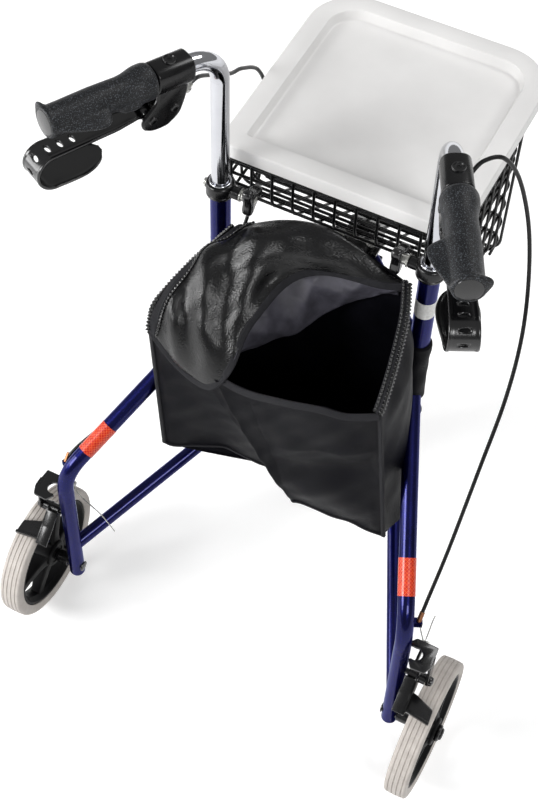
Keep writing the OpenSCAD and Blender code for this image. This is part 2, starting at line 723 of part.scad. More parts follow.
// handles
module handle_tube() {
    translate([0, 0, handle_low]) cylinder(d = handle_d, h = corner_z - handle_tan - handle_low + bend_lap);
    translate([0, -handle_bend_r, corner_z - handle_tan]) rotate([90, 0, 90])
        rotate_extrude(angle = handle_turn_ang) translate([handle_bend_r, 0])
            circle(d = handle_d - bend_step);
    translate([0, 0, corner_z]) rotate([90 - handle_rise, 0, 0]) translate([0, 0, handle_tan - bend_lap])
        cylinder(d = handle_d, h = tube_end - handle_tan + bend_lap);
}
module grip() difference() {
    union() {
        translate([0, 0, grip_from]) rotate_extrude() polygon(concat([[0, 0]],
            [for (i = [0 : len(grip_shares) - 1]) [grip_radii[i], grip_shares[i] * grip_len]],
            [[0, grip_len]]));
        translate([0, palm_t / 3, 0]) rotate([90, 0, 0]) linear_extrude(palm_t) polygon(concat(
            [[0, grip_from + palm_from_share * grip_len]],
            [for (i = [0 : palm_steps])
                [-palm_reach * sin(180 * (i / palm_steps) ^ palm_ahead_share) ^ palm_full_share,
                grip_from + (palm_from_share + palm_run_share * i / palm_steps) * grip_len]]));
    }
    translate([0, 0, grip_from - cut_more]) cylinder(d = handle_d + 2 * fit_clear,
        h = tube_end - grip_from + cut_more + fit_clear);
}
module at_adjuster() translate([adjuster_out, -adjuster_down, adjuster_at])
    rotate([0, -adjuster_turn, 0]) children();
module brake_housing() {
    difference() {
        union() {
            translate([0, 0, clamp_from]) cylinder(d = clamp_d, h = clamp_len);
            side_plate(housing_w)
                polygon([for (p = housing_shares) [p[0] * housing_len, -p[1] * housing_deep]]);
        }
        translate([0, 0, clamp_from - clamp_len]) cylinder(d = handle_d + 2 * fit_clear, h = 3 * clamp_len);
        translate([-lever_neck_w / 2 - side_gap, -slot_low, lever_at - slot_ahead])
            cube([lever_neck_w + 2 * side_gap, slot_low - slot_high, slot_len]);
        at_adjuster() translate([0, 0, -2 * adjuster_len])
            cylinder(d = adjuster_d + 2 * fit_clear, h = 2 * adjuster_len + fit_clear);
    }
    translate([0, -lever_down, lever_at]) rotate([0, 90, 0])
        cylinder(d = lever_pin_d, h = housing_w, center = true);
}
module cable_adjuster() at_adjuster() {
    translate([0, 0, -adjuster_len]) cylinder(d = adjuster_d, h = adjuster_len);
    translate([0, 0, -nut_at - nut_len]) cylinder(d = adjuster_nut_d, h = nut_len, $fn = 6);
}
module paddle_outline() {
    n = 24;
    polygon([for (i = [0 : n - 1]) [paddle_len / 2 * cos(i * 360 / n), paddle_w / 2 * sin(i * 360 / n)]]);
}
module brake_lever() difference() {
    union() {
        translate([0, -lever_down, lever_at]) rotate([0, 90, 0])
            cylinder(r = lever_hub_r, h = lever_neck_w, center = true);
        side_plate(lever_neck_w - 2 * bend_lap) polygon([[lever_at, -lever_down],
            [lever_at, -lever_down + lever_hub_r - band_t / 4],
            [band_from + band_t, -band_down + band_t / 2], [band_from + band_t, -band_down - band_t / 2],
            [lever_at + band_t, -lever_down - lever_hub_r / 2]]);
        side_plate(band_w) translate([band_from, -band_down - band_t / 2 + bend_step])
            square([band_to - band_from + bend_lap, band_t - 2 * bend_step]);
        side_plate(loop_w) translate([band_to, -band_down - loop_r]) difference() {
            circle(r = loop_r + band_t / 2);
            circle(r = loop_r - band_t / 2);
            translate([-2 * loop_r, -2 * loop_r]) square([2 * loop_r, 4 * loop_r]);
        }
        translate([0, -band_down - 2 * loop_r, band_to]) rotate([-paddle_rise, 0, 0]) {
            translate([-loop_w / 2, -band_t / 2 + bend_step, -paddle_len / 2])
                cube([loop_w, band_t - 2 * bend_step, paddle_len / 2]);
            translate([0, band_t / 2, -paddle_len / 2]) rotate([90, 0, 0]) linear_extrude(band_t)
                rotate(90) paddle_outline();
        }
    }
    translate([0, -lever_down, lever_at]) rotate([0, 90, 0])
        cylinder(d = lever_pin_d + 2 * run_clear, h = 2 * lever_neck_w, center = true);
    for (i = [0 : hole_n - 1]) translate([0, -band_down, band_to - i * hole_step]) rotate([90, 0, 0])
        cylinder(d = band_hole_d, h = 2 * band_t, center = true);
    translate([0, -band_down - loop_r, band_to]) rotate([-45, 0, 0]) translate([0, 0, loop_r])
        cylinder(d = band_hole_d, h = 2 * band_t, center = true);
}
module handle_tube_right() color(chrome) at_handle() handle_tube();
module handle_tube_left() color(chrome) flip() at_handle() handle_tube();
module grip_right() color(black) at_grip() grip();
module grip_left() color(black) flip() at_grip() grip();
module brake_housing_right() color(black) at_grip() brake_housing();
module brake_housing_left() color(black) flip() at_grip() brake_housing();
module cable_adjuster_right() color(steel) at_grip() cable_adjuster();
module cable_adjuster_left() color(steel) flip() at_grip() cable_adjuster();
module brake_lever_right() color(black) at_grip() brake_lever();
module brake_lever_left() color(black) flip() at_grip() brake_lever();

// brake cables: a round tube along a smooth curve through the route points
function smooth(p, i, t) = let(a = p[max(i - 1, 0)], b = p[i], c = p[i + 1], d = p[min(i + 2, len(p) - 1)])
    0.5 * (2 * b + (c - a) * t + (2 * a - 5 * b + 4 * c - d) * t * t + (3 * b - a - 3 * c + d) * t * t * t);
function curve(p) = concat([for (i = [0 : len(p) - 2], k = [0 : cable_steps - 1])
    smooth(p, i, k / cable_steps)], [p[len(p) - 1]]);
function unit(v) = v / norm(v);
function heading(q, i) = unit(q[min(i + 1, len(q) - 1)] - q[max(i - 1, 0)]);
function across(h) = unit(cross(h, lean_shares));
module cable(route) {
    q = curve(route);
    n = len(q);
    m = cable_sides;
    points = [for (i = [0 : n - 1], k = [0 : m - 1]) let(h = heading(q, i), u = across(h), v = cross(h, u))
        q[i] + cable_d / 2 * (cos(k * 360 / m) * u + sin(k * 360 / m) * v)];
    sides = [for (i = [0 : n - 2], k = [0 : m - 1])
        [i * m + k, (i + 1) * m + k, (i + 1) * m + (k + 1) % m, i * m + (k + 1) % m]];
    ends = [[for (k = [0 : m - 1]) k], [for (k = [0 : m - 1]) n * m - 1 - k]];
    translate([0, axle_y, 0]) polyhedron(points, concat(sides, ends), convexity = 8);
}
module brake_cable_right() color(black) cable(route_right);
module brake_cable_left() color(black) flip() cable(route_left);

// rear brakes
module brake_bracket() at_post() {
    difference() {
        translate([0, -bracket_t / 2, bracket_low]) cube([bracket_out, bracket_t, bracket_top - bracket_low]);
        translate([0, 0, bracket_low - cut_more])
            cylinder(d = rail_d + 2 * fit_clear, h = bracket_top - bracket_low + 2 * cut_more);
        translate([rail_d / 2 + bracket_t, 0, (bracket_low + bracket_top) / 2]) rotate([90, 0, 0])
            cylinder(r = 2 * bracket_t, h = 4 * bracket_t, center = true);
    }
    translate([bracket_out - bracket_t, -sleeve_d / 2, brake_z])
        cube([bracket_t, sleeve_d, bracket_top - brake_z]);
    translate([bracket_out - bracket_t, 0, brake_z]) rotate([0, 90, 0]) cylinder(d = sleeve_d, h = bracket_t);
    translate([rail_d / 4, 0, brake_z]) rotate([0, 90, 0])
        cylinder(d = brake_pin_d, h = bracket_out - rail_d / 4 + cut_more);
    translate([bracket_out, 0, brake_z]) rotate([0, 90, 0]) cylinder(d = pin_head_d, h = pin_head_h);
}
shoe_mid_r = wheel_r + shoe_gap + shoe_t / 2;
shoe_y = -shoe_mid_r * sin(shoe_ang);
shoe_z = wheel_r + shoe_mid_r * cos(shoe_ang);
web_ang = atan2(-shoe_y, brake_z - shoe_z);
web_len = norm([shoe_y, brake_z - shoe_z]);
web_w = sleeve_len - 2 * bracket_t;
module brake_arm() at_post() difference() {
    union() {
        translate([sleeve_in, 0, brake_z]) rotate([0, 90, 0]) cylinder(d = sleeve_d, h = sleeve_len);
        translate([sleeve_in + sleeve_len - web_w - bend_lap, 0, brake_z]) rotate([-web_ang, 0, 0])
            translate([0, -shoe_t / 2, -web_len]) cube([web_w, shoe_t, web_len]);
        translate([post_in - shoe_w / 2, shoe_y, shoe_z]) rotate([shoe_ang, 0, 0])
            translate([0, -shoe_len / 2, -shoe_t / 2]) cube([shoe_w, shoe_len, shoe_t]);
        translate([sleeve_in + bend_lap, 0, brake_z]) rotate([90, 0, 90]) linear_extrude(bracket_t)
            polygon([[0, -sleeve_d * arm_root_share], [clamp_fwd, clamp_up - sleeve_d / 3],
                [clamp_fwd, clamp_up + sleeve_d / 3], [0, sleeve_d * arm_root_share]]);
        translate([sleeve_in, clamp_fwd, brake_z + clamp_up]) rotate([0, 90, 0])
            cylinder(d = sleeve_d * clamp_eye_share, h = bracket_t * 2);
    }
    translate([0, 0, brake_z]) rotate([0, 90, 0])
        cylinder(d = brake_pin_d + 2 * run_clear, h = 2 * bracket_out);
}
module brake_bracket_right() color(black) brake_bracket();
module brake_bracket_left() color(black) flip() brake_bracket();
module brake_arm_right() color(black) brake_arm();
module brake_arm_left() color(black) flip() brake_arm();

// basket: flat wire panels, each with its grid of gaps
module wire_grid(w, h) {
    nx = ceil(w / wire_step);
    ny = ceil(h / wire_step);
    gx = (w - wire_d) / nx;
    gy = (h - wire_d) / ny;
    for (i = [0 : nx - 1], k = [0 : ny - 1]) translate([wire_d + i * gx, wire_d + k * gy])
        square([gx - wire_d, gy - wire_d]);
}
module flat_panel(w, h) linear_extrude(wire_d) difference() {
    square([w, h]);
    wire_grid(w, h);
}
module basket_rear() color(black) translate([-inner_half, basket_rear_y + axle_y + wire_d, basket_rear_low])
    rotate([90, 0, 0]) flat_panel(2 * inner_half, basket_top - basket_rear_low);
module basket_front() color(black) translate([-inner_half, basket_front_y + axle_y, basket_front_low])
    rotate([90, 0, 0]) flat_panel(2 * inner_half, basket_top - basket_front_low);
module basket_floor() color(black)
    translate([-inner_half, basket_rear_y + axle_y + wire_d, basket_rear_low - wire_d])
        rotate([-floor_slope, 0, 0]) flat_panel(2 * inner_half, floor_len);
module side_outline(inset) {
    r = basket_rear_y + inset;
    f = basket_front_y - inset;
    polygon([[r, basket_rear_low - wire_d + inset], [r, basket_top - inset], [f, basket_top - inset],
        [f, basket_front_low - wire_d + inset * corner_share]]);
}
module basket_side() translate([basket_half - wire_d, axle_y, 0]) rotate([90, 0, 90]) linear_extrude(wire_d)
    difference() {
        side_outline(0);
        intersection() {
            side_outline(wire_d);
            translate([basket_rear_y, basket_front_low - wire_d])
                wire_grid(floor_run, basket_top - basket_front_low + wire_d);
        }
    }
module basket_right() color(black) basket_side();
module basket_left() color(black) flip() basket_side();
carrier_rear = column_y - column_d / 2;
carrier_front = column_y + column_d / 2;
function floor_under(y) = basket_rear_low - wire_d - (y - basket_rear_y - wire_d) * tan(floor_slope)
    - fit_clear;
module basket_carrier() color(black) translate([-carrier_w / 2, axle_y, 0]) rotate([90, 0, 90])
    linear_extrude(carrier_w) polygon([[carrier_rear, column_top + fit_clear],
        [carrier_front, column_top + fit_clear], [carrier_front, floor_under(carrier_front)],
        [carrier_rear, floor_under(carrier_rear)]]);

// tray
module tray_outline(inset) {
    w = tray_w / 2 - inset;
    y0 = tray_rear_y + inset;
    y1 = tray_rear_y + tray_len - inset;
    rn = max(tray_rear_r - inset, wire_d);
    rf = max(tray_front_r - inset, wire_d);
    translate([-w, y0 + rn]) square([2 * w, y1 - y0 - rn - rf]);
    translate([rn - w, y0]) square([2 * (w - rn), 2 * rn]);
    translate([rf - w, y1 - 2 * rf]) square([2 * (w - rf), 2 * rf]);
    for (s = [-1, 1]) {
        translate([s * (w - rn), y0 + rn]) circle(r = rn);
        translate([s * (w - rf), y1 - rf]) circle(r = rf);
    }
}
module tray() color(white) translate([0, axle_y, tray_low]) difference() {
    linear_extrude(tray_h) tray_outline(0);
    translate([0, 0, tray_h - tray_recess]) linear_extrude(tray_h) tray_outline(tray_rim);
    difference() {
        translate([0, 0, -cut_more]) linear_extrude(tray_h - tray_t + cut_more) tray_outline(tray_t);
        translate([0, 0, -2 * cut_more]) linear_extrude(2 * tray_h) tray_outline(tray_rim - tray_t);
    }
    translate([0, 0, -cut_more]) linear_extrude(tray_h - tray_recess - tray_t + cut_more)
        tray_outline(tray_rim - tray_t - cut_more / 2);
}

// bag
module bag_plan(inset) polygon([[inset - bag_rear_half, bag_rear_y + inset],
    [bag_rear_half - inset, bag_rear_y + inset], [bag_front_half - inset, bag_front_y - inset],
    [inset - bag_front_half, bag_front_y - inset]]);
module bag_side(inset) rotate([90, 0, 90]) translate([0, 0, -2 * bag_rear_half])
    linear_extrude(4 * bag_rear_half) polygon([[0, bag_low - inset],
        [bag_rear_y, bag_low - inset], [bag_front_y, bag_low - inset],
        [2 * bag_front_y, bag_low - inset], [2 * bag_front_y, bag_top_at(2 * bag_front_y) + inset],
        [0, bag_top_at(0) + inset]]);
function bag_top_at(y) = bag_rear_top
    + (y - bag_rear_y) * (bag_front_top - bag_rear_top) / (bag_front_y - bag_rear_y);
wrap_high_z = bag_front_top - wrap_under;
wrap_low_z = bag_low + wrap_over;
wrap_r = upright_d / 2 + wrap_gap;
wrap_reach = norm([upright_x - bag_front_half, upright_y - bag_front_y]) + bag_t;
wrap_ang = atan2(bag_front_y - upright_y, bag_front_half - upright_x);
module wrap(z) translate([upright_x, upright_y, z]) rotate([0, 0, wrap_ang]) difference() {
    union() {
        cylinder(r = wrap_r + wrap_t, h = wrap_h);
        translate([0, -bag_t / 2, 0]) cube([wrap_reach, bag_t, wrap_h]);
    }
    translate([0, 0, -cut_more]) cylinder(r = wrap_r, h = wrap_h + 2 * cut_more);
}
module bag() color(cloth) translate([0, axle_y, 0]) {
    for (s = [0, 1], z = [wrap_low_z, wrap_high_z]) mirror([s, 0, 0]) wrap(z);
    difference() {
        intersection() {
            translate([0, 0, bag_low - cut_more]) linear_extrude(bag_front_top) bag_plan(0);
            bag_side(0);
        }
        translate([0, 0, bag_low + bag_t]) linear_extrude(bag_front_top) bag_plan(bag_t);
    }
    intersection() {
        translate([0, 0, bag_low - cut_more]) linear_extrude(bag_front_top) bag_plan(0);
        difference() {
            bag_side(0);
            bag_side(-lid_t);
        }
        translate([-bag_rear_half, 0, bag_low + lid_t + cut_more])
            cube([2 * bag_rear_half * lid_share, 2 * bag_front_y, bag_front_top]);
    }
}

head_column();
head_top_plate();
head_low_plate();
hinge_cap();
fold_catch();
hinge_pin_right();
hinge_pin_left();
fork();
front_tyre();
front_rim();
front_axle();
upright_right();
upper_rail_right();
lower_rail_right();
upper_arm_right();
lower_arm_right();
reflector_right();
collar_right();
collar_bolt_right();
height_knob_right();
upright_left();
upper_rail_left();
lower_rail_left();
upper_arm_left();
lower_arm_left();
reflector_left();
collar_left();
collar_bolt_left();
height_knob_left();
handle_tube_right();
grip_right();
brake_housing_right();
cable_adjuster_right();
brake_lever_right();
brake_cable_right();
brake_bracket_right();
brake_arm_right();
rear_tyre_right();
rear_rim_right();
rear_axle_right();
handle_tube_left();
grip_left();
brake_housing_left();
cable_adjuster_left();
brake_lever_left();
brake_cable_left();
brake_bracket_left();
brake_arm_left();
rear_tyre_left();
rear_rim_left();
rear_axle_left();
basket_rear();
basket_front();
basket_right();
basket_left();
basket_floor();
basket_carrier();
tray();
bag();
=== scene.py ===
import math

import bmesh
import bpy
import numpy as np
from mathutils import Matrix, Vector


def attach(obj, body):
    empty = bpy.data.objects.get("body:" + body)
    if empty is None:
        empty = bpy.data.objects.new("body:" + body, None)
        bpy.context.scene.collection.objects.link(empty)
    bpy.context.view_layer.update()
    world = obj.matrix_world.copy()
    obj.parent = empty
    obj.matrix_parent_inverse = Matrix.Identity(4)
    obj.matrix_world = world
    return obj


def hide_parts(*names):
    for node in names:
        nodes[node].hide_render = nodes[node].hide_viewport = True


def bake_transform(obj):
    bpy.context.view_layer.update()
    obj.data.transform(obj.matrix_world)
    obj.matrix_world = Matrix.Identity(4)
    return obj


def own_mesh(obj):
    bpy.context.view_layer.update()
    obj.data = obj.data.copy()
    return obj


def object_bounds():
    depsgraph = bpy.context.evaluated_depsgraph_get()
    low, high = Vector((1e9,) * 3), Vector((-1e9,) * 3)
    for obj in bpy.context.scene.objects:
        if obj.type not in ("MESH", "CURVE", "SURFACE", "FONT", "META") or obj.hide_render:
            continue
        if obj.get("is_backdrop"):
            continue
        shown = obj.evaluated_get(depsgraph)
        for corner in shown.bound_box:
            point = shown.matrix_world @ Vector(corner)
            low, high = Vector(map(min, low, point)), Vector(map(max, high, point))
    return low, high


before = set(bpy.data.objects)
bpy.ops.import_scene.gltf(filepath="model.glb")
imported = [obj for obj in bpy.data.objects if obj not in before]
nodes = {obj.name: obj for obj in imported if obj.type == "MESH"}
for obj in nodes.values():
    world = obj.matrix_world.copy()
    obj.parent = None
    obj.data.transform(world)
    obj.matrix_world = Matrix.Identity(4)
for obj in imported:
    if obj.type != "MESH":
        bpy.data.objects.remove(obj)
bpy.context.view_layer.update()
scene = bpy.context.scene
mm = 0.001
print("frame loaded,", len(nodes), "nodes")

# places of the frame in mm: X to the right, Y ahead, Z up
walker = {
    "uprightX": 137, "uprightY": -4, "sideTurn": 25.388, "handleTurn": 26.988,
    "handleRise": 4, "cornerZ": 932, "postX": 249, "axleY": -240,
    "wheelX": 300, "wheelZ": 100, "frontWheelY": 190,
}
sides = {"right": 1, "left": -1}


# shapes: a shape is (points in mm, faces)

# vectors drawn to length 1
def unit(v):
    return v / np.maximum(np.linalg.norm(v, axis=-1, keepdims=True), 1e-12)


# coordinates that fit each other joined to points
def stacked(*parts):
    return np.stack(np.broadcast_arrays(*parts), -1)


# angles of a full turn
def fullTurn(steps):
    return np.linspace(0, 2 * np.pi, steps, endpoint=False)


# length run from the start of a line to each of its points
def runAlong(points):
    return np.concatenate([[0], np.cumsum(np.linalg.norm(np.diff(points, axis=0), axis=1))])


# |x| to a power with the sign of x, which squares off a circle
def squared(x, power):
    return np.sign(x) * np.abs(x) ** power


# running mean over a few values, the ends held
def eased(values, count):
    return np.convolve(np.pad(values, count // 2, mode="edge"), np.ones(count) / count, "valid")


# a hump of height 1: exp(-|(x - at) / wide| ^ power)
def hump(x, at, wide, power=2):
    return np.exp(-np.abs((x - at) / wide) ** power)


# 3 x^2 - 2 x^3 between 0 and 1
def smoothStep(x):
    x = np.clip(x, 0, 1)
    return x * x * (3 - 2 * x)


# unit normals of a grid of points
def normals(points):
    return unit(np.cross(np.gradient(points, axis=1), np.gradient(points, axis=0)))


# points[i, j] joined to their neighbours by quads; around closes j, loop closes i, ends cap the end rows
def grid(points, around=False, loop=False, ends=False):
    rows, cols = points.shape[:2]
    index = np.arange(rows * cols).reshape(rows, cols)
    wide = np.hstack([index, index[:, :1]]) if around else index
    tall = np.vstack([wide, wide[:1]]) if loop else wide
    quads = np.stack([tall[:-1, :-1], tall[1:, :-1], tall[1:, 1:], tall[:-1, 1:]], -1)
    faces = quads.reshape(-1, 4).tolist()
    if ends:
        faces += [index[0].tolist(), index[-1][::-1].tolist()]
    return points.reshape(-1, 3), faces


# (r, h) turned about z: (r cos a, r sin a, h)
def lathe(profile, steps=48, loop=False):
    a = fullTurn(steps)
    r, h = np.asarray(profile, float).T[..., None]
    return grid(stacked(r * np.cos(a), r * np.sin(a), h), around=True, loop=loop, ends=not loop)


# a closed section (across, up) carried along a path; across = ref x tangent
def sweep(path, section, ref, loop=False):
    path = np.asarray(path, float)
    step = np.roll(path, -1, 0) - np.roll(path, 1, 0) if loop else np.gradient(path, axis=0)
    along = unit(step)
    across = unit(np.cross(np.asarray(ref, float), along))
    up = np.cross(along, across)
    section = np.broadcast_to(section, (len(path),) + np.shape(section)[-2:])
    points = path[:, None] + section[..., :1] * across[:, None] + section[..., 1:] * up[:, None]
    return grid(points, around=True, loop=loop, ends=not loop)


# circle as a flat line: (r cos a, r sin a)
def ring(radius, steps=12):
    a = fullTurn(steps)
    return radius * stacked(np.cos(a), np.sin(a))


# corners of a line replaced by parabolas that start a radius before each corner
def rounded(corners, radius, steps=6, closed=True):
    p = np.asarray(corners, float)
    back = np.roll(p, 1, 0) - p
    ahead = np.roll(p, -1, 0) - p
    lengths = [np.linalg.norm(v, axis=1, keepdims=True) for v in (back, ahead)]
    reach = np.minimum(radius, 0.49 * np.minimum(*lengths))
    first = p + unit(back) * reach
    last = p + unit(ahead) * reach
    t = np.linspace(0, 1, steps + 1)[None, :, None]
    bends = (1 - t) ** 2 * first[:, None] + 2 * t * (1 - t) * p[:, None] + t ** 2 * last[:, None]
    if closed:
        return bends.reshape(-1, p.shape[1])
    return np.vstack([p[:1], bends[1:-1].reshape(-1, p.shape[1]), p[-1:]])


# a plate: the outline at each level, drawn in by edge (1 - sin a) at height edge (1 - cos a) from either face
def slab(outline, low, high, edge, steps=4):
    o = np.asarray(outline, float)
    area = np.sum(o[:, 0] * np.roll(o[:, 1], -1) - o[:, 1] * np.roll(o[:, 0], -1))
    o = o if area > 0 else o[::-1]
    t = unit(np.roll(o, -1, 0) - np.roll(o, 1, 0))
    outward = stacked(t[:, 1], -t[:, 0])
    a = np.linspace(0, np.pi / 2, steps + 1)
    inset = edge * (1 - np.sin(a))
    rise = edge * (1 - np.cos(a))
    inset = np.concatenate([inset, inset[::-1]])
    height = np.concatenate([low + rise, high - rise[::-1]])
    flat = o[None] - inset[:, None, None] * outward[None]
    return grid(stacked(flat[..., 0], flat[..., 1], height[:, None]), around=True, ends=True)


# smooth curve through points (Catmull-Rom), steps per span
def through(points, steps):
    p = np.asarray(points, float)
    ext = np.vstack([p[:1], p, p[-1:]])
    t = np.linspace(0, 1, steps, endpoint=False)[None, :, None]
    a, b, c, d = (ext[i:len(ext) - 3 + i, None] for i in range(4))
    q = 0.5 * (2 * b + (c - a) * t + (2 * a - 5 * b + 4 * c - d) * t ** 2 + (3 * b - a - 3 * c + d) * t ** 3)
    return np.vstack([q.reshape(-1, p.shape[1]), p[-1:]])


# a line drawn again with points at even lengths
def spread(points, count):
    run = runAlong(points)
    at = np.linspace(0, run[-1], count)
    return stacked(*(np.interp(at, run, column) for column in points.T))


# places: from a part's own axes to the frame, right side

# turned by an angle in the plane of two axes, from the first toward the second
def tilted(p, degrees, first, second):
    c, s = math.cos(math.radians(degrees)), math.sin(math.radians(degrees))
    made = np.array(p, float)
    made[..., first] = p[..., first] * c - p[..., second] * s
    made[..., second] = p[..., first] * s + p[..., second] * c
    return made


# a place: moved by (x, y, z)
def shifted(x, y, z):
    return lambda p: p + np.array([x, y, z], float)


# the upright's and the rear post's axes, not turned with the side frame
onUpright = shifted(walker["uprightX"], walker["uprightY"], 0)
onPost = shifted(walker["postX"], walker["axleY"], 0)


# side frame: x outward, y ahead, z up, from the upright's axis
def onFrame(p):
    return onUpright(tilted(p, walker["sideTurn"], 0, 1))


# handle: x outward, y up from its axis, z rearward along it
def onHandle(p):
    level = tilted(p, 90 - walker["handleRise"], 1, 2) + [0, 0, walker["cornerZ"]]
    return onUpright(tilted(level, walker["handleTurn"], 0, 1))


# z axis laid along x, outward: (x, y, z) to (z, x, y)
def alongX(p):
    return p[..., [2, 0, 1]]


# z axis laid along y, up: (x, y, z) to (y, z, x)
def alongY(p):
    return p[..., [1, 2, 0]]


# wheels: turned about z first, then z laid along X
def onWheel(p):
    return alongX(p) + np.array([walker["wheelX"], walker["axleY"], walker["wheelZ"]])


def onFrontWheel(p):
    return alongX(p) + np.array([0, walker["frontWheelY"], walker["wheelZ"]])


# a shape carried through its places, one after the other
def put(shape, *places):
    points, faces = shape
    for place in places:
        points = place(points)
    return points, faces


# a shape with its z axis laid along x, moved, then put in its place
def crosswise(shape, place, move=(0, 0, 0)):
    return put(shape, alongX, shifted(*move), place)


# shapes as one: points in a row, faces counted on
def joined(shapes):
    starts = np.cumsum([0] + [len(v) for v, f in shapes[:-1]])
    points = np.vstack([v for v, f in shapes])
    return points, [[i + int(n) for i in face] for (v, f), n in zip(shapes, starts) for face in f]


# one object from shapes: its finish, the body it rides on, the nodes it stands for, angle of a sharp edge
def piece(name, shapes, finish, body=None, stand=(), sharp=38, uv=None):
    points, faces = joined(shapes)
    mesh = bpy.data.meshes.new(name)
    mesh.from_pydata((points * mm).tolist(), [], faces)
    if uv is not None:
        corner = np.zeros(len(mesh.loops), np.int32)
        mesh.loops.foreach_get("vertex_index", corner)
        mesh.uv_layers.new(name="cut").data.foreach_set("uv", np.asarray(uv, np.float32)[corner].ravel())
    work = bmesh.new()
    work.from_mesh(mesh)
    bmesh.ops.remove_doubles(work, verts=work.verts, dist=1e-6)
    bmesh.ops.recalc_face_normals(work, faces=work.faces)
    work.to_mesh(mesh)
    work.free()
    mesh.shade_smooth()
    mesh.set_sharp_from_angle(angle=math.radians(sharp))
    made = bpy.data.objects.new(name, mesh)
    scene.collection.objects.link(made)
    mesh.materials.append(finish)
    if body:
        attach(made, body)
    if stand:
        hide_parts(*stand)
    return made


# the same piece on both sides, drawn for the right
def pair(name, shapes, finish, body, stand=(), sharp=38):
    made = {}
    for side, sign in sides.items():
        turnedOver = [(v * np.array([sign, 1, 1]), f) for v, f in shapes]
        made[side] = piece(f"{name}_{side}", turnedOver, finish, f"{side}_{body}",
                           [f"{n}_{side}" for n in stand], sharp)
    return made


# materials

# sRGB to linear: c / 12.92 for dark values, else ((c + 0.055) / 1.055) ^ 2.4
def hexLinear(code):
    c = np.array([int(code[i:i + 2], 16) for i in (1, 3, 5)]) / 255
    return tuple(np.where(c <= 0.04045, c / 12.92, ((c + 0.055) / 1.055) ** 2.4)) + (1.0,)


# one node with its settings, values and links
def addNode(mat, kind, inputs=(), **settings):
    made = mat.node_tree.nodes.new("ShaderNode" + kind)
    for key, value in settings.items():
        setattr(made, key, value)
    for key, value in dict(inputs).items():
        if isinstance(value, bpy.types.NodeSocket):
            mat.node_tree.links.new(value, made.inputs[key])
        else:
            made.inputs[key].default_value = value
    return made


# output of a node by its name, and a socket led into an input of a node by its name
def outOf(mat, node, key):
    return mat.node_tree.nodes[node].outputs[key]


def lead(mat, socket, node, key):
    mat.node_tree.links.new(socket, mat.node_tree.nodes[node].inputs[key])


shader = "Principled BSDF"


# colour drifts between two values over patchMm, roughness with it, and a grain of grainMm stands depthMm high
def surface(name, colours, rough, patchMm, grainMm, depthMm, coords="Object", grain="TexNoise",
            grainInputs=(), strength=1.0, **sockets):
    mat = bpy.data.materials.new(name)
    mat.use_nodes = True
    for key, value in sockets.items():
        mat.node_tree.nodes[shader].inputs[key.replace("_", " ")].default_value = value
    where = addNode(mat, "TexCoord", name="where").outputs[coords]
    patch = addNode(mat, "TexNoise", {"Vector": where, "Scale": 1 / (patchMm * mm), "Detail": 5.0}).outputs[0]
    drift = addNode(mat, "MapRange", {"Value": patch, "From Min": 0.3, "From Max": 0.7})
    tint = addNode(mat, "Mix", {0: drift.outputs[0], 6: hexLinear(colours[0]), 7: hexLinear(colours[1])},
                   data_type="RGBA", name="tint")
    polish = addNode(mat, "MapRange", {"Value": patch, "From Min": 0.3, "From Max": 0.7,
                                       "To Min": rough[0], "To Max": rough[1]})
    speck = addNode(mat, grain, {"Vector": where, "Scale": 1 / (grainMm * mm), **dict(grainInputs)},
                    name="speck")
    bump = addNode(mat, "Bump", {"Height": speck.outputs[0], "Distance": depthMm * mm, "Strength": strength},
                   name="bump")
    lead(mat, tint.outputs[2], shader, "Base Color")
    lead(mat, polish.outputs[0], shader, "Roughness")
    lead(mat, bump.outputs[0], shader, "Normal")
    return mat


# metallic polyester lacquer: deep violet blue, flakes under a glossy clear coat, flakes drawn coarse to show
lacquer = surface("navyFlakeLacquer", ("#0a0c3a", "#10124a"), (0.26, 0.34), 60, 40, 0.02, Metallic=0.9,
                  Specular_Tint=(0.25, 0.35, 0.8, 1.0), Coat_Weight=0.3, Coat_Roughness=0.04)
flakeMm = 1.3
flake = addNode(lacquer, "TexVoronoi", {"Vector": outOf(lacquer, "where", "Object"),
                                        "Scale": 1 / (flakeMm * mm)})
shine = addNode(lacquer, "MapRange", {"Value": flake.outputs["Distance"], "From Min": 0.05, "From Max": 0.32,
                                      "To Min": 0.85, "To Max": 0.0})
pick = addNode(lacquer, "SeparateColor", {"Color": flake.outputs["Color"]})
rare = addNode(lacquer, "MapRange", {"Value": pick.outputs[0], "From Min": 0.55, "From Max": 0.95})
glint = addNode(lacquer, "Math", {0: shine.outputs[0], 1: rare.outputs[0]}, operation="MULTIPLY")
fleck = addNode(lacquer, "Mix", {0: glint.outputs[0], 6: outOf(lacquer, "tint", 2), 7: hexLinear("#4640bc")},
                data_type="RGBA")
lead(lacquer, fleck.outputs[2], shader, "Base Color")

# bright chromium plate on steel tube: mirror with faint handling haze
chrome = surface("chromePlate", ("#b6b7bc", "#c2c3c7"), (0.04, 0.11), 45, 8, 0.004, Metallic=1.0)

# zinc plated steel: dull bright, slightly yellow
zinc = surface("zincPlate", ("#a9aaa8", "#bdbcb6"), (0.24, 0.40), 9, 1.5, 0.01, Metallic=1.0)

# drawn copper cable ferrule: reddish, faintly dull
copper = surface("drawnCopper", ("#7d5238", "#94684a"), (0.25, 0.4), 5, 1, 0.01, Metallic=1.0)

# black enamel on pressed steel: glossy, small orange peel
enamel = surface("blackEnamel", ("#060607", "#0a0a0c"), (0.20, 0.32), 40, 5, 0.015,
                 Coat_Weight=0.3, Coat_Roughness=0.08, Specular_IOR_Level=0.4)

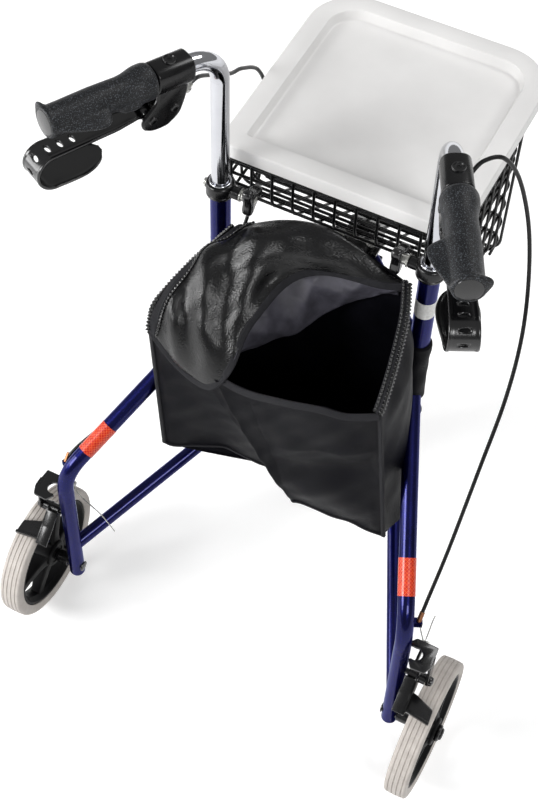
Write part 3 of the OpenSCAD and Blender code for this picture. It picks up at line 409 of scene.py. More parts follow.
# glass filled nylon, moulded, spark eroded mould: fine matt grain
nylon = surface("mouldedNylon", ("#060607", "#0b0b0d"), (0.20, 0.30), 25, 0.9, 0.03, Specular_IOR_Level=0.35)

# the same nylon from a polished mould: levers, knobs, plugs and zip teeth
polished = surface("polishedNylon", ("#070708", "#0c0c0e"), (0.16, 0.26), 30, 1.2, 0.02,
                   Specular_IOR_Level=0.6)

# thermoplastic rubber grip, moulded sand grain drawn coarse to show, its peaks painted light grey: painted
# highlight
gripRubber = surface("grainedGripRubber", ("#0b0c0e", "#121316"), (0.40, 0.54), 22, 1.25, 0.36,
                     grainInputs={"Detail": 1.0}, strength=0.95, Specular_IOR_Level=0.3)
# painted highlight: the peaks of the grain turned light grey in the base colour
peak = addNode(gripRubber, "MapRange", {"Value": outOf(gripRubber, "speck", 0),
                                        "From Min": 0.55, "From Max": 0.75})
paintedGrainHighlight = addNode(gripRubber, "Mix", {0: peak.outputs[0], 6: outOf(gripRubber, "tint", 2),
                                   7: hexLinear("#54585e")}, data_type="RGBA")
lead(gripRubber, paintedGrainHighlight.outputs[2], shader, "Base Color")

# grey polyurethane tyre, moulded, rolled on: matt, dust in it
tyreRubber = surface("greyTyreRubber", ("#b1aaa4", "#c4beb8"), (0.55, 0.72), 18, 1.1, 0.05)

# polystyrene tray, injection moulded: satin, very even
styrene = surface("satinPolystyrene", ("#dbdad9", "#e2e1e0"), (0.34, 0.44), 70, 0.7, 0.012)

# polyethylene dip coat on wire: soft gloss, slight runs
wireCoat = surface("dippedWireCoat", ("#050506", "#09090a"), (0.24, 0.38), 12, 6, 0.06,
                   Specular_IOR_Level=0.3)

# polypropylene rims, moulded: matt
rimPlastic = surface("mouldedPolypropylene", ("#040405", "#070708"), (0.45, 0.60), 20, 1, 0.03,
                     Specular_IOR_Level=0.12)

# PVC cable sheath, extruded: smooth, half glossy
sheath = surface("extrudedSheath", ("#050506", "#0a0a0b"), (0.28, 0.40), 14, 2, 0.02, Specular_IOR_Level=0.25)

# white film label, bare, a little rubbed
film = surface("bareLabelFilm", ("#e8e8e6", "#cfcfcc"), (0.35, 0.55), 4, 2, 0.02)

# prismatic reflective tape: red film over a lattice of cells, the lattice lines painted pale orange as painted
# prism highlight
tape = surface("prismaticTape", ("#c8280f", "#dd3a1c"), (0.22, 0.34), 6, 1.7, 0.03, coords="UV")
cellMm = 3.4
lay = addNode(tape, "Mapping", {"Vector": outOf(tape, "where", "UV"), "Rotation": (0, 0, math.radians(45))})
# mortar: the tape's lattice lines, their pale orange a painted highlight of the prisms
cell = addNode(tape, "TexBrick", {"Vector": lay.outputs[0], "Scale": 1.0, "Brick Width": cellMm * mm,
                                  "Row Height": cellMm * mm, "Mortar Size": 0.28 * mm, "Mortar Smooth": 0.5,
                                  "Color1": hexLinear("#b80d05"), "Color2": hexLinear("#d42a0c"),
                                  "Mortar": hexLinear("#f0743c")}, offset=0.0)
lead(tape, cell.outputs["Color"], shader, "Base Color")

# coated polyester bag cloth: plain weave, thread drawn coarse to show, soft sheen
bagCloth = surface("coatedBagCloth", ("#07070b", "#0c0c11"), (0.40, 0.50), 30, 3, 0.12, coords="UV",
                   Specular_IOR_Level=0.045)
threadMm = 0.9
waveScale = 0.314  # at scale 1 the bands of a wave texture repeat every 0.314 m
clothUv = outOf(bagCloth, "where", "UV")
threadWave = {"Vector": clothUv, "Scale": waveScale / (threadMm * mm)}
over = addNode(bagCloth, "TexChecker", {"Vector": clothUv, "Scale": 1 / (threadMm * mm)})
warp, weft = (addNode(bagCloth, "TexWave", threadWave, bands_direction=way).outputs["Fac"] for way in "XY")
weave = addNode(bagCloth, "Mix", {0: over.outputs["Fac"], 2: warp, 3: weft})
lead(bagCloth, weave.outputs[0], "bump", "Height")

# PVC leathercloth: embossed pebble grain about 2 mm, glossy on the pebbles, their tops painted lighter as
# painted highlight
vinyl = surface("embossedVinyl", ("#040405", "#070708"), (0.24, 0.32), 25, 2.1, 0.28, coords="UV",
                grain="TexVoronoi", strength=0.9, Specular_IOR_Level=0.4)
# painted highlight: the pebble tops turned lighter in the base colour
pebble = addNode(vinyl, "MapRange", {"Value": outOf(vinyl, "speck", 0), "From Min": 0.08, "From Max": 0.42,
                                     "To Min": 1.0, "To Max": 0.0})
paintedPebbleHighlight = addNode(vinyl, "Mix", {0: pebble.outputs[0], 6: outOf(vinyl, "tint", 2), 7: hexLinear("#121316")},
                 data_type="RGBA")
lead(vinyl, paintedPebbleHighlight.outputs[2], shader, "Base Color")

# thin woven lining: dark grey, creased
lining = surface("creasedLining", ("#3c3b42", "#4e4d56"), (0.30, 0.40), 16, 22, 0.8, coords="UV",
                 grainInputs={"Detail": 3.0, "Distortion": 0.6})

# woven binding ribbon: dull, with cross ribs
binding = surface("wovenBinding", ("#1c1c1f", "#262629"), (0.55, 0.72), 10, 1, 0.35, coords="UV",
                  Specular_IOR_Level=0.15)
ribMm = 1.6
ribs = addNode(binding, "TexWave", {"Vector": outOf(binding, "where", "UV"),
                                    "Scale": waveScale / (ribMm * mm)}, bands_direction="X")
lead(binding, ribs.outputs["Fac"], "bump", "Height")
print("materials made")

# finishes of the solids that are kept
kept = {
    lacquer: ["head_column", "upright", "upper_rail", "lower_rail", "upper_arm", "lower_arm"],
    chrome: ["handle_tube", "fold_catch"],
    enamel: ["head_top_plate", "head_low_plate", "hinge_cap", "fork", "basket_carrier"],
    zinc: ["hinge_pin", "front_axle"],
}
for finish, starts in kept.items():
    for name, node in nodes.items():
        if name.startswith(tuple(starts)):
            node.data.materials.clear()
            node.data.materials.append(finish)


# camera: where the photo was taken, f = 1600 px on 538 x 800
lens = {"at": (0.4884, -1.1681, 2.1183), "right": (0.8907, 0.4542, 0.0211), "up": (-0.3794, 0.7169, 0.5849),
        "back": (0.2505, -0.5289, 0.8109), "sensor": 36, "length": 72, "end": 50}
camera = bpy.data.objects.new("camera", bpy.data.cameras.new("camera"))
scene.collection.objects.link(camera)
camera.data.sensor_width = lens["sensor"]
camera.data.lens = lens["length"]
camera.data.clip_end = lens["end"]
pose = np.eye(4)
pose[:3] = np.stack([lens["right"], lens["up"], lens["back"], lens["at"]], 1)
camera.matrix_world = pose.T.tolist()
scene.camera = camera
print("camera set")


# brake cables: 5 mm sheath, the route of the solids; outward, Y, Z in mm
cable = {"d": 5, "steps": 10, "faces": 14}
routes = {
    "right": [(164, -21, 889), (165, -6, 894), (172, 10, 901), (188, 28, 896), (205, 48, 852), (224, 58, 775),
              (241, 45, 698), (255, 10, 640), (262, -35, 580), (262, -90, 505), (260, -150, 405),
              (258, -195, 350), (258, -216, 332.4)],
    "left": [(164, -21, 889), (164, 0, 881), (165, 45, 846), (167, 80, 819), (169, 112, 800), (172, 160, 758),
             (174, 188, 700), (171, 185, 630), (167, 150, 555), (166, 90, 500), (176, 10, 460), (199, -90, 408),
             (226, -160, 372), (250, -200, 346), (258, -216, 332.4)],
}
for side, sign in sides.items():
    route = through(np.array(routes[side], float) * [sign, 1, 1], cable["steps"])
    outer = piece(f"brakeCable_{side}", [sweep(route, ring(cable["d"] / 2, cable["faces"]), (1, 0.2, 0.1))],
                  sheath, stand=[f"brake_cable_{side}"])
    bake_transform(outer)


# wheels: (r, h) section of the tyre with four grooves, shoulders of a quarter ellipse
tyre = {"r": 100, "half": 16, "tread": 12.3, "crown": 0.7, "grooves": (-9.6, -3.2, 3.2, 9.6),
        "grooveHalf": 0.55, "grooveDeep": 1.1, "side": 93.5, "turns": 112, "steps": 131, "shoulder": 9}
tread = np.linspace(-tyre["tread"], tyre["tread"], tyre["steps"])
grooves = np.sum([hump(tread, at, tyre["grooveHalf"], 6) for at in tyre["grooves"]], 0)
top = tyre["r"] - tyre["crown"] * (tread / tyre["tread"]) ** 2 - tyre["grooveDeep"] * grooves
quarter = np.linspace(0, np.pi / 2, tyre["shoulder"])[1:]
shoulder = stacked(tyre["side"] + (top[-1] - tyre["side"]) * np.cos(quarter),
                   tyre["tread"] + (tyre["half"] - tyre["tread"]) * np.sin(quarter))
flank = np.vstack([shoulder, [(90, 15.9), (86.5, 15.2), (83.6, 14.6), (83.1, 14.1)]])
tyreLine = np.vstack([(flank * [1, -1])[::-1], stacked(top, tread), flank])
tyreShape = lathe(tyreLine, tyre["turns"], loop=True)

# rim: ring with lips, hub with bearing seats, spokes that taper from hub to ring
rim = {"spokes": 6, "from": 16, "to": 76, "wide": (19, 13), "thick": (24, 13), "steps": 12}
ringPart = lathe([(82.9, -13), (82.9, 13), (81, 14.2), (78.5, 13.6), (76.5, 10), (73.4, 6.5), (73, 0),
                  (73.4, -6.5), (76.5, -10), (78.5, -13.6), (81, -14.2)], 112, loop=True)
hubPart = lathe([(6.2, -18), (8.6, -18), (9, -16.6), (13.6, -16.6), (14, -18), (18.4, -18), (20, -16.4),
                 (20, 16.4), (18.4, 18), (14, 18), (13.6, 16.6), (9, 16.6), (8.6, 18), (6.2, 18)], 64, True)
share = np.linspace(0, 1, rim["steps"])
spokeEdge = rounded([(-1, -1), (1, -1), (1, 1), (-1, 1)], 0.45, 4)
girth = stacked(np.interp(share, (0, 1), rim["wide"]), np.interp(share, (0, 1), rim["thick"])) / 2
girth = girth * (1 + 0.25 * (2 * share - 1)[:, None] ** 4)
spokeLine = stacked(rim["from"] + share * (rim["to"] - rim["from"]), 0, 0)
spoke = sweep(spokeLine, spokeEdge[None] * girth[:, None], (0, 0, 1))
turnBy = [lambda p, k=k: tilted(p, k * 360 / rim["spokes"], 0, 1) for k in range(rim["spokes"])]
rimShapes = [ringPart, hubPart] + [put(spoke, place) for place in turnBy]
pair("tyre", [put(tyreShape, onWheel)], tyreRubber, "wheel", ["rear_tyre"], 30)
pair("rim", [put(part, onWheel) for part in rimShapes], rimPlastic, "wheel", ["rear_rim"])
piece("tyre_front", [put(tyreShape, onFrontWheel)], tyreRubber, "front_wheel", ["front_tyre"], 30)
piece("rim_front", [put(part, onFrontWheel) for part in rimShapes], rimPlastic, "front_wheel", ["front_rim"])

# axle: low domed head inside the post, bolt, spacer, domed cap outside; h along it from mid wheel
axleShapes = [lathe([(0, -64.4), (5, -64.2), (7.4, -63.4), (8, -62.3), (0, -62.3)], 40),
              lathe([(0, -62.5), (6, -62.5), (6, 18.4), (0, 18.4)], 32),
              lathe([(6, -39.7), (8.4, -39.7), (9, -39), (9, -19), (8.4, -18.3), (6, -18.3)], 40, True)]
pair("axleBolt", [put(part, onWheel) for part in axleShapes], enamel, "frame", ["rear_axle"])
capLine = [(0, 27.4), (5.5, 27.3), (7.6, 26.6), (8.6, 25.2), (8.8, 24.2), (10.6, 23.8), (11.7, 23), (12, 21.8),
           (12, 19.6), (11.4, 18.6), (0, 18.6)]
pair("hubCap", [put(lathe(capLine, 56), onWheel)], nylon, "frame", ())
print("wheels made")


# tray: closed shell, its outline drawn in by each inset at each height above the lower edge
tray = {"half": 158, "rear": 22, "front": 340, "rearR": 14, "frontR": 66, "leastR": 5, "low": 745,
        "flare": (0.985, 1.0), "bend": 13}
levels = [(60, 6), (33, 6), (31, 6.3), (29.6, 7.2), (28.8, 9), (26.9, 16.5), (26.4, 18.6), (25.8, 19.6),
          (24.8, 20), (3, 20), (1.2, 19.7), (0.3, 18.9), (0, 17.4), (0, 0.8), (0.6, 0), (2.4, 0), (3, 0.7),
          (3, 16), (4.6, 17), (21, 17), (23.4, 15.6), (26.2, 7), (28.4, 3.6), (31, 3), (60, 3)]


# rectangle with round corners, larger in front, that widens evenly from rear to front
def trayOutline(inset):
    w, y0, y1 = tray["half"] - inset, tray["rear"] + inset, tray["front"] - inset
    rn = max(tray["rearR"] - inset, tray["leastR"])
    rf = max(tray["frontR"] - inset, tray["leastR"])
    q = np.linspace(0, np.pi / 2, tray["bend"])
    corners = [(w - rn, y0 + rn, rn, -np.pi / 2), (w - rf, y1 - rf, rf, 0), (rf - w, y1 - rf, rf, np.pi / 2),
               (rn - w, y0 + rn, rn, np.pi)]
    line = np.vstack([stacked(x + r * np.cos(q + s), y + r * np.sin(q + s)) for x, y, r, s in corners])
    wider = np.interp(line[:, 1], (tray["rear"], tray["front"]), tray["flare"])
    return line * stacked(wider, 1)


trayRows = np.array([np.insert(trayOutline(inset), 2, tray["low"] + z, axis=1) for inset, z in levels])
piece("tray_shell", [grid(trayRows, around=True, ends=True)], styrene, "tray", ["tray"], 24)
print("tray made")


# basket: bent wires; U wires front to rear over the floor, U wires side to side, rings round the walls
basket = {"half": 154, "rear": 25, "front": 236, "top": 742.4, "rearLow": 684, "frontLow": 520, "wire": 4,
          "rim": 5, "bend": 20, "ringBend": 16, "across": 11, "along": 7, "faces": 8, "ringInset": 2.5,
          "sideGap": 16, "rearGap": 30, "frontGap": 8, "lift": 3,
          "rings": (734.4, 716, 700, 687, 655, 620, 586, 552)}


# the floor falls evenly from rear to front
def floorAt(y):
    down = (y - basket["rear"]) / (basket["front"] - basket["rear"])
    return basket["rearLow"] + down * (basket["frontLow"] - basket["rearLow"])


# a level ring round the walls at height z, or a U open to the rear where the floor is higher
def wallRing(z, radius, inset):
    w, y0, y1 = basket["half"] - inset, basket["rear"] + inset, basket["front"] - inset
    if z > basket["rearLow"]:
        corners = rounded([(-w, y0, z), (w, y0, z), (w, y1, z), (-w, y1, z)], basket["ringBend"], 6)
        return sweep(corners, ring(radius, basket["faces"]), (0, 0, 1), loop=True)
    y0 = np.interp(z, (basket["frontLow"], basket["rearLow"]), (basket["front"], basket["rear"]))
    corners = rounded([(-w, y0, z), (-w, y1, z), (w, y1, z), (w, y0, z)], basket["ringBend"], 6, False)
    return sweep(corners, ring(radius, basket["faces"]), (0, 0, 1))


wireR = basket["wire"] / 2
bar = ring(wireR, basket["faces"])
inner = basket["half"] - basket["sideGap"]
bars = []
for x in np.linspace(-inner, inner, basket["across"]):
    corners = [(x, basket["rear"], basket["top"]), (x, basket["rear"], basket["rearLow"]),
               (x, basket["front"], basket["frontLow"]), (x, basket["front"], basket["top"])]
    bars.append(sweep(rounded(corners, basket["bend"], 6, False), bar, (1, 0, 0)))
alongFrom, alongTo = basket["rear"] + basket["rearGap"], basket["front"] - basket["frontGap"]
for y in np.linspace(alongFrom, alongTo, basket["along"]):
    z = floorAt(y) + basket["lift"]
    w = basket["half"]
    corners = [(-w, y, basket["top"]), (-w, y, z), (w, y, z), (w, y, basket["top"])]
    bars.append(sweep(rounded(corners, basket["bend"], 6, False), bar, (0, 1, 0)))
bars.append(wallRing(basket["top"], basket["rim"] / 2, 0))
bars += [wallRing(z, wireR, basket["ringInset"]) for z in basket["rings"]]
piece("basketWires", bars, wireCoat, "basket",
      ["basket_rear", "basket_front", "basket_right", "basket_left", "basket_floor"], 60)
print("basket made")


# collars: split clamp with a groove, boss for the knob, bright ring on top
collarLine = [(12.8, 711), (16.6, 711), (17.5, 712.2), (17.5, 714.8), (16.9, 715.4), (16.9, 716.4), (17.5, 717),
              (17.5, 727.6), (16.6, 729.8), (14.6, 731), (11.15, 731), (11.15, 726.1), (12.8, 726.1)]
bossLine = [(4.2, -13), (8, -13), (8, -25.8), (7, -27), (4.2, -27)]
knobAt = (0, 0, 720)
collarShapes = [put(lathe(collarLine, 64, True), onUpright),
                crosswise(lathe(bossLine, 40, True), onUpright, knobAt)]
pair("collar", collarShapes, nylon, "frame", ["collar"])
lip = ring(1, 12) * [1.3, 1.1] + [12.5, 731.9]
pair("collarRing", [put(lathe(lip, 64, True), onUpright)], chrome, "frame", ())
boltShapes = [slab(rounded(ring(5, 6), 0.8, 3), 17.6, 21.4, 0.8),
              lathe([(0, 15), (6.4, 17.4), (6.4, 18.4), (0, 18.4)], 36)]
pair("collarBolt", [crosswise(part, onUpright, knobAt) for part in boltShapes], zinc, "frame", ["collar_bolt"])

# knobs: radius r + lobe ((1 + cos 3a) / 2)^1.5, pressed to a plate with full edges, on a bright neck
knob = {"r": 12, "lobe": 9.5, "from": -47, "to": -34.6, "edge": 4.2, "steps": 108}
lobes = knob["r"] + knob["lobe"] * ((1 + np.cos(3 * fullTurn(knob["steps"]))) / 2) ** 1.5
knobShape = slab(lobes[:, None] * ring(1, knob["steps"]), knob["from"], knob["to"], knob["edge"], 6)
pair("heightKnob", [crosswise(knobShape, onUpright, knobAt)], polished, "knob", ["height_knob"],
     60)
neckShapes = [lathe([(0, -34.8), (6.6, -34.8), (6.6, -29.4), (8.4, -29.2), (8.4, -27.6), (0, -27.6)], 40),
              lathe([(0, -47.9), (3.4, -47.8), (4.4, -47), (4.4, -45), (0, -45)], 32)]
pair("knobStud", [crosswise(part, onUpright, knobAt) for part in neckShapes], zinc, "knob", ())
print("collars and knobs made")


# grips: radius over length and angle; palm rest toward the middle, flange with a horn at the outer rear edge
grip = {"from": 90, "long": 130, "wing": 0.15, "wingRoot": 0.5, "horn": 6.5, "pad": 6, "around": 132}
shares = [0, 0.012, 0.04, 0.09, 0.14, 0.2, 0.27, 0.4, 0.55, 0.7, 0.82, 0.89, 0.945, 0.962, 0.985, 1]
radii = [17.5, 19.4, 20.6, 20.9, 20.3, 18.2, 16.7, 17.1, 17.6, 17.2, 16.9, 16.8, 17.0, 17.7, 18.0, 17.2]
wingShares = [0.42, 0.47, 0.505, 0.54, 0.58, 0.63, 0.7, 0.8, 0.9, 1]
wingReach = [0, 3, 11, 16.8, 19.2, 19.6, 17.8, 13, 7, 1]
along = np.concatenate([np.linspace(0, 0.05, 12)[:-1], np.linspace(0.05, 0.9, 76)[:-1],
                        np.linspace(0.9, 1, 26)])
lathed = np.interp(along, shares, radii)
lathed = np.where((along > 0.05) & (along < 0.93), eased(lathed, 7), lathed)
angle = np.linspace(-np.pi, np.pi, grip["around"], endpoint=False)
angle = angle + 0.62 * np.sin(angle)  # closer together near the palm rest at pi
wingLine = through(stacked(wingShares, wingReach), 8)
wing = np.interp(along, wingLine[:, 0], np.maximum(wingLine[:, 1], 0))
aside = np.abs(np.abs(angle) - np.pi)
palm = 0.86 * hump(aside, 0, grip["wing"]) + 0.14 * hump(aside, 0, grip["wingRoot"])
palmRest = wing[:, None] * palm[None]
horn = grip["horn"] * hump(along, 0.972, 0.022)[:, None] * hump(angle, 0.35, 0.5)[None]
pad = grip["pad"] * hump(along, 0.26, 0.1, 4)[:, None] * hump(angle, -2.25, 0.4, 4)[None]
radius = lathed[:, None] + palmRest + horn + pad
gripRows = stacked(radius * np.cos(angle), radius * np.sin(angle) - 0.08 * palmRest,
                   grip["from"] + along[:, None] * grip["long"])
capShare = np.array([0.9, 0.72, 0.4, 0.0])[:, None, None]
capZ = grip["from"] + grip["long"] + np.array([0.6, 0.2, -0.4, -0.4])[:, None, None]
capRows = gripRows[-1] * [1, 1, 0] * capShare + [0, 0, 1] * capZ
headRows = gripRows[0] * [1, 1, 0] * np.array([0.0, 0.64])[:, None, None] + [0, 0, grip["from"]]
gripShape = grid(np.vstack([headRows, gripRows, capRows]), around=True)
pair("grip", [put(gripShape, onHandle)], gripRubber, "handle", ["grip"], 50)
plugLine = [(0, 221.6), (12.5, 221.4), (14.4, 220.8), (15.2, 219.6), (15.2, 216), (0, 216)]
pair("gripPlug", [put(lathe(plugLine, 48), onHandle)], polished, "handle", ())
print("grips made")


# brake housings: clamp round the tube, two cheeks beside the lever, core ahead of it
housing = {"half": 13, "slot": 8.1, "edge": 3.2, "clampFrom": 42, "clampTo": 89, "barrel": 16.8, "power": 2.8,
           "barrelSteps": 72}
cheekLine = rounded([(48, 0), (49, -22), (52, -34), (58, -52), (74, -63), (93, -63), (106, -56), (108, -44),
                     (98, -34), (88, -24), (88, 0)], 9, 6)
coreLine = rounded([(48, 0), (49, -22), (52, -34), (58, -52), (74, -62.6), (83, -62.8), (83, 0)], 8, 6)


# outline drawn as (along, up), thickness across: (u, v, w) to (w, v, u)
def acrossHandle(p):
    return p[..., [2, 1, 0]]


# barrel: superellipse, r = half width / (|cos|^n + |sin|^n)^(1/n), ends drawn in
circle = ring(1, housing["barrelSteps"])
square = housing["barrel"] * np.sum(np.abs(circle) ** housing["power"], 1) ** (-1 / housing["power"])
housingShapes = [slab(square[:, None] * circle, housing["clampFrom"], housing["clampTo"], 2.2),
                 put(slab(cheekLine, housing["slot"], housing["half"], housing["edge"]), acrossHandle),
                 put(slab(cheekLine, -housing["half"], -housing["slot"], housing["edge"]), acrossHandle),
                 put(slab(coreLine, -housing["half"] + 1, housing["half"] - 1, 1), acrossHandle)]
pair("brakeHousing", [put(part, onHandle) for part in housingShapes], nylon, "handle", ["brake_housing"])

# screws: domed socket heads, r and h along their own axis
sideHead = lathe([(0, 0.6), (2.1, 0.6), (2.3, 2.0), (4.2, 1.8), (5.0, 0.9), (5.2, -1.5), (0, -1.5)], 30)
topHead = lathe([(0, -0.6), (2.6, -0.6), (2.9, 1.2), (5.2, 1.4), (5.8, 2.6), (7.2, 2.7), (7.6, 1.8), (7.6, -3),
                 (0, -3)], 40)


# onto the outer or inner cheek, at a length along the handle and a height
def sideScrew(at, up, sign):
    return lambda p: alongX(p) * [sign, 1, 1] + np.array([sign * housing["half"], up, at])


screwShapes = [put(sideHead, sideScrew(at, up, sign), onHandle)
               for at, up in ((66, -40), (94, -46.5)) for sign in (1, -1)]
screwShapes.append(put(topHead, alongY, shifted(0, 16.2, 66), onHandle))
pair("housingScrews", screwShapes, enamel, "handle", ())

# cable adjuster: barrel with a thread at its front end, knurled nut, leaning outward
adjuster = {"lean": 25, "at": (7, -45, 44), "threads": 23, "knurls": 24, "nutSteps": 96}
threadR = 3.2 + 0.22 * np.cos(np.pi * np.arange(adjuster["threads"]))
threadLine = stacked(threadR, np.linspace(-19.8, -14.6, adjuster["threads"]))
adjusterLine = np.vstack([[(0, -20), (2.6, -20)], threadLine, [(3.3, -14.2), (3.3, 14), (0, 14)]])
knurlR = 5.3 + 0.25 * np.cos(adjuster["knurls"] * fullTurn(adjuster["nutSteps"]))
knurl = knurlR[:, None] * ring(1, adjuster["nutSteps"])


# leaning about y, then moved to the housing's front
def onAdjuster(p):
    return tilted(p, adjuster["lean"], 0, 2) + adjuster["at"]


adjusterShapes = [put(lathe(adjusterLine, 32), onAdjuster, onHandle),
                  put(slab(knurl, -14, -8, 0.8), onAdjuster, onHandle)]
pair("cableAdjuster", adjusterShapes, zinc, "handle", ["cable_adjuster"], 30)
print("brake housings made")


# brake levers: a band under the grip, a loop at its end and an oval paddle, one section carried along the path
lever = {"hub": (94, -46.5), "bandTo": 218, "down": 38.5, "loop": 20, "paddle": 66, "paddleHalf": 23, "rise": 9,
         "thick": 3.2, "stations": 150, "around": 40, "square": 0.4, "dish": 2.6}
loopTurn = np.linspace(np.pi / 2, -np.pi / 2, 25)
arc = stacked(lever["bandTo"] + lever["loop"] * np.cos(loopTurn),
              -lever["down"] - lever["loop"] + lever["loop"] * np.sin(loopTurn))
rise = math.radians(lever["rise"])
tip = arc[-1] + lever["paddle"] * np.array([-math.cos(rise), math.sin(rise)])
neck = through([lever["hub"], (103, -42.2), (112, -39.2), (124, -38.5)], 6)
bandLine = spread(np.vstack([neck, arc, tip[None]]), lever["stations"])
bandRun = runAlong(bandLine)
bend = bandRun[-1] - lever["paddle"]
known = [0, 12, 24, 45, 80, bend - 63, bend - 30, bend, bend + 8]
halfWide = np.interp(bandRun, known, [6.6, 6.8, 10, 13.2, 14.4, 15.4, 16.5, 17.6, 18.6])
ahead = np.clip((bandRun - bend) / lever["paddle"], 0, 1)
oval = lever["paddleHalf"] * np.sqrt(np.clip(1 - (2 * np.clip(ahead, 0.5, 1) - 1) ** 2, 0, 1))
oval = np.where(ahead < 0.5, 18.6 + 4.4 * smoothStep(ahead * 2), oval)
halfWide = eased(np.maximum(np.where(ahead > 0.12, oval, halfWide), 0.4), 5)
tangent = unit(np.gradient(bandLine, axis=0))
normal = stacked(-tangent[:, 1], tangent[:, 0])
bandTurn = fullTurn(lever["around"])
flat = squared(np.cos(bandTurn), lever["square"])
thick = squared(np.sin(bandTurn), lever["square"]) * lever["thick"] / 2
dish = -lever["dish"] * smoothStep(ahead * 2.2) * np.minimum(halfWide / 20, 1)
bead = 1 + 0.55 * smoothStep((np.abs(flat) - 0.72) / 0.16)
offset = (thick * bead)[None] + dish[:, None] * (flat ** 2 - 0.5)[None]
bandRows = stacked(halfWide[:, None] * flat, bandLine[:, 1:] + offset * normal[:, 1:],
                   bandLine[:, :1] + offset * normal[:, :1])
hubLine = [(3.1, -7.4), (7.2, -7.4), (8, -6.6), (8, 6.6), (7.2, 7.4), (3.1, 7.4)]
leverShapes = [put(grid(bandRows, around=True, ends=True), onHandle),
               crosswise(lathe(hubLine, 40, True), onHandle, (0, lever["hub"][1], lever["hub"][0]))]
levers = pair("brakeLever", leverShapes, polished, "lever", ["brake_lever"], 50)

# oval holes across the band and the loop: (along, up), tilt in degrees
holes = [((188, -38.5), 0), ((203, -38.5), 0), ((218, -38.5), 0), ((232.1, -44.4), -45), ((238, -58.5), -90)]
holePoints, holeFaces = slab(ring(1, 28) * [5.6, 2.7], -5, 5, 0.01, 1)
for side, sign in sides.items():
    cutters = []
    for (at, up), tilt in holes:
        leant = tilted(holePoints, tilt, 1, 2)[:, [0, 2, 1]] + [0, up, at]
        cutters.append((onHandle(leant) * [sign, 1, 1], holeFaces))
    tool = piece(f"holeTool_{side}", cutters, nylon)
    change = levers[side].modifiers.new("holes", "BOOLEAN")
    change.object = tool
    change.operation = "DIFFERENCE"
    change.solver = "EXACT"
    bpy.context.view_layer.update()
    ready = levers[side].evaluated_get(bpy.context.evaluated_depsgraph_get())
    pierced = bpy.data.meshes.new_from_object(ready)
    levers[side].modifiers.clear()
    levers[side].data = pierced
    bpy.data.objects.remove(tool)
print("levers made")


# rear brakes: level plate on the post with a round notch, leg with pivot, arm with cheek and shoe
brake = {"pivot": (0, 0, 232), "clamp": (0, 40, 244), "legHalf": 7.5, "shoeX": 51, "shoeR": 106.6,
         "shoeTilt": 15}
notchTurn = np.radians(np.linspace(-110, 110, 21))
notch = stacked(19 + 9 * np.cos(notchTurn), 9 * np.sin(notchTurn))
plate = rounded([(4, 11), (12, 21), (42, 21), (44, -8), (39, -20), (20, -21), (14, -12)], 2, 3)
plate = np.vstack([plate, notch])
legTurn = np.radians(np.linspace(180, 360, 21))
legEnd = brake["legHalf"] * stacked(np.cos(legTurn), np.sin(legTurn)) + [0, brake["pivot"][2]]
legTop = rounded([(brake["legHalf"], 286.5), (-brake["legHalf"], 286.5)], 1.5, 3)
bracketShapes = [put(slab(plate, 283, 287, 0.5, 2), onPost),
                 crosswise(slab(np.vstack([legTop, legEnd]), 40, 44, 0.8, 3), onPost)]
pair("brakeBracket", bracketShapes, enamel, "frame", ["brake_bracket"])
pinShapes = [lathe([(0, 4), (3.95, 4), (3.95, 46), (0, 46)], 28),
             lathe([(0, 49), (3.5, 48.9), (5.6, 47.9), (6.5, 46), (6.5, 44.1), (0, 44.1)], 36)]
pair("brakePivot", [crosswise(part, onPost, brake["pivot"]) for part in pinShapes], enamel, "frame", ())


# shoe: u across the tread, v along it, w out from the wheel, tilted about x round the wheel's middle
def onShoe(p):
    out = p + np.array([brake["shoeX"], 0, brake["shoeR"]])
    return tilted(out, brake["shoeTilt"], 1, 2) + [0, 0, walker["wheelZ"]]


wedge = rounded([(-29, -11), (13, -16), (11, 5), (-17, 15), (-27, 16)], 3, 4)
lipLine = rounded([(-29, -11), (13, -16), (13, -11.6), (-29, -6.6)], 1.2, 3)
cheek = rounded([(-5, 240), (5, 240), (9, 233), (2, 222), (-8, 207), (-24, 203), (-44, 197), (-46, 202),
                 (-26, 220), (-10, 238)], 5, 5)
web = rounded([(-46, 202), (-26, 220), (-10, 238), (-7.4, 236), (-23.6, 217.6), (-44.4, 199.4)], 1.2, 3)
forward = rounded([(-4, 225.5), (8, 227), (40, 238), (46, 244), (40, 250), (8, 238), (-4, 238.5)], 4, 4)
armHub = [(4.1, 15), (7, 15), (7.5, 15.6), (7.5, 38.4), (7, 39), (4.1, 39)]
armShapes = [put(slab(wedge, -3, 2.4, 1.4, 3), onShoe, onPost),
             put(slab(lipLine, -3, 5.2, 1, 3), onShoe, onPost),
             crosswise(slab(cheek, 27, 30.6, 0.8, 2), onPost), crosswise(slab(web, 13, 30, 0.8, 2), onPost),
             crosswise(slab(forward, 16, 19.6, 0.8, 2), onPost),
             crosswise(lathe(armHub, 40, True), onPost, brake["pivot"])]
pair("brakeArm", armShapes, enamel, "brake", ["brake_arm"])
clampShapes = [slab(rounded(ring(5.6, 6), 0.8, 3), 19.4, 23.4, 0.8),
               lathe([(0, 13.2), (3.6, 13.2), (4.4, 14), (4.4, 16.2), (0, 16.2)], 28)]
pair("cableClamp", [crosswise(part, onPost, brake["clamp"]) for part in clampShapes], zinc, "brake", ())

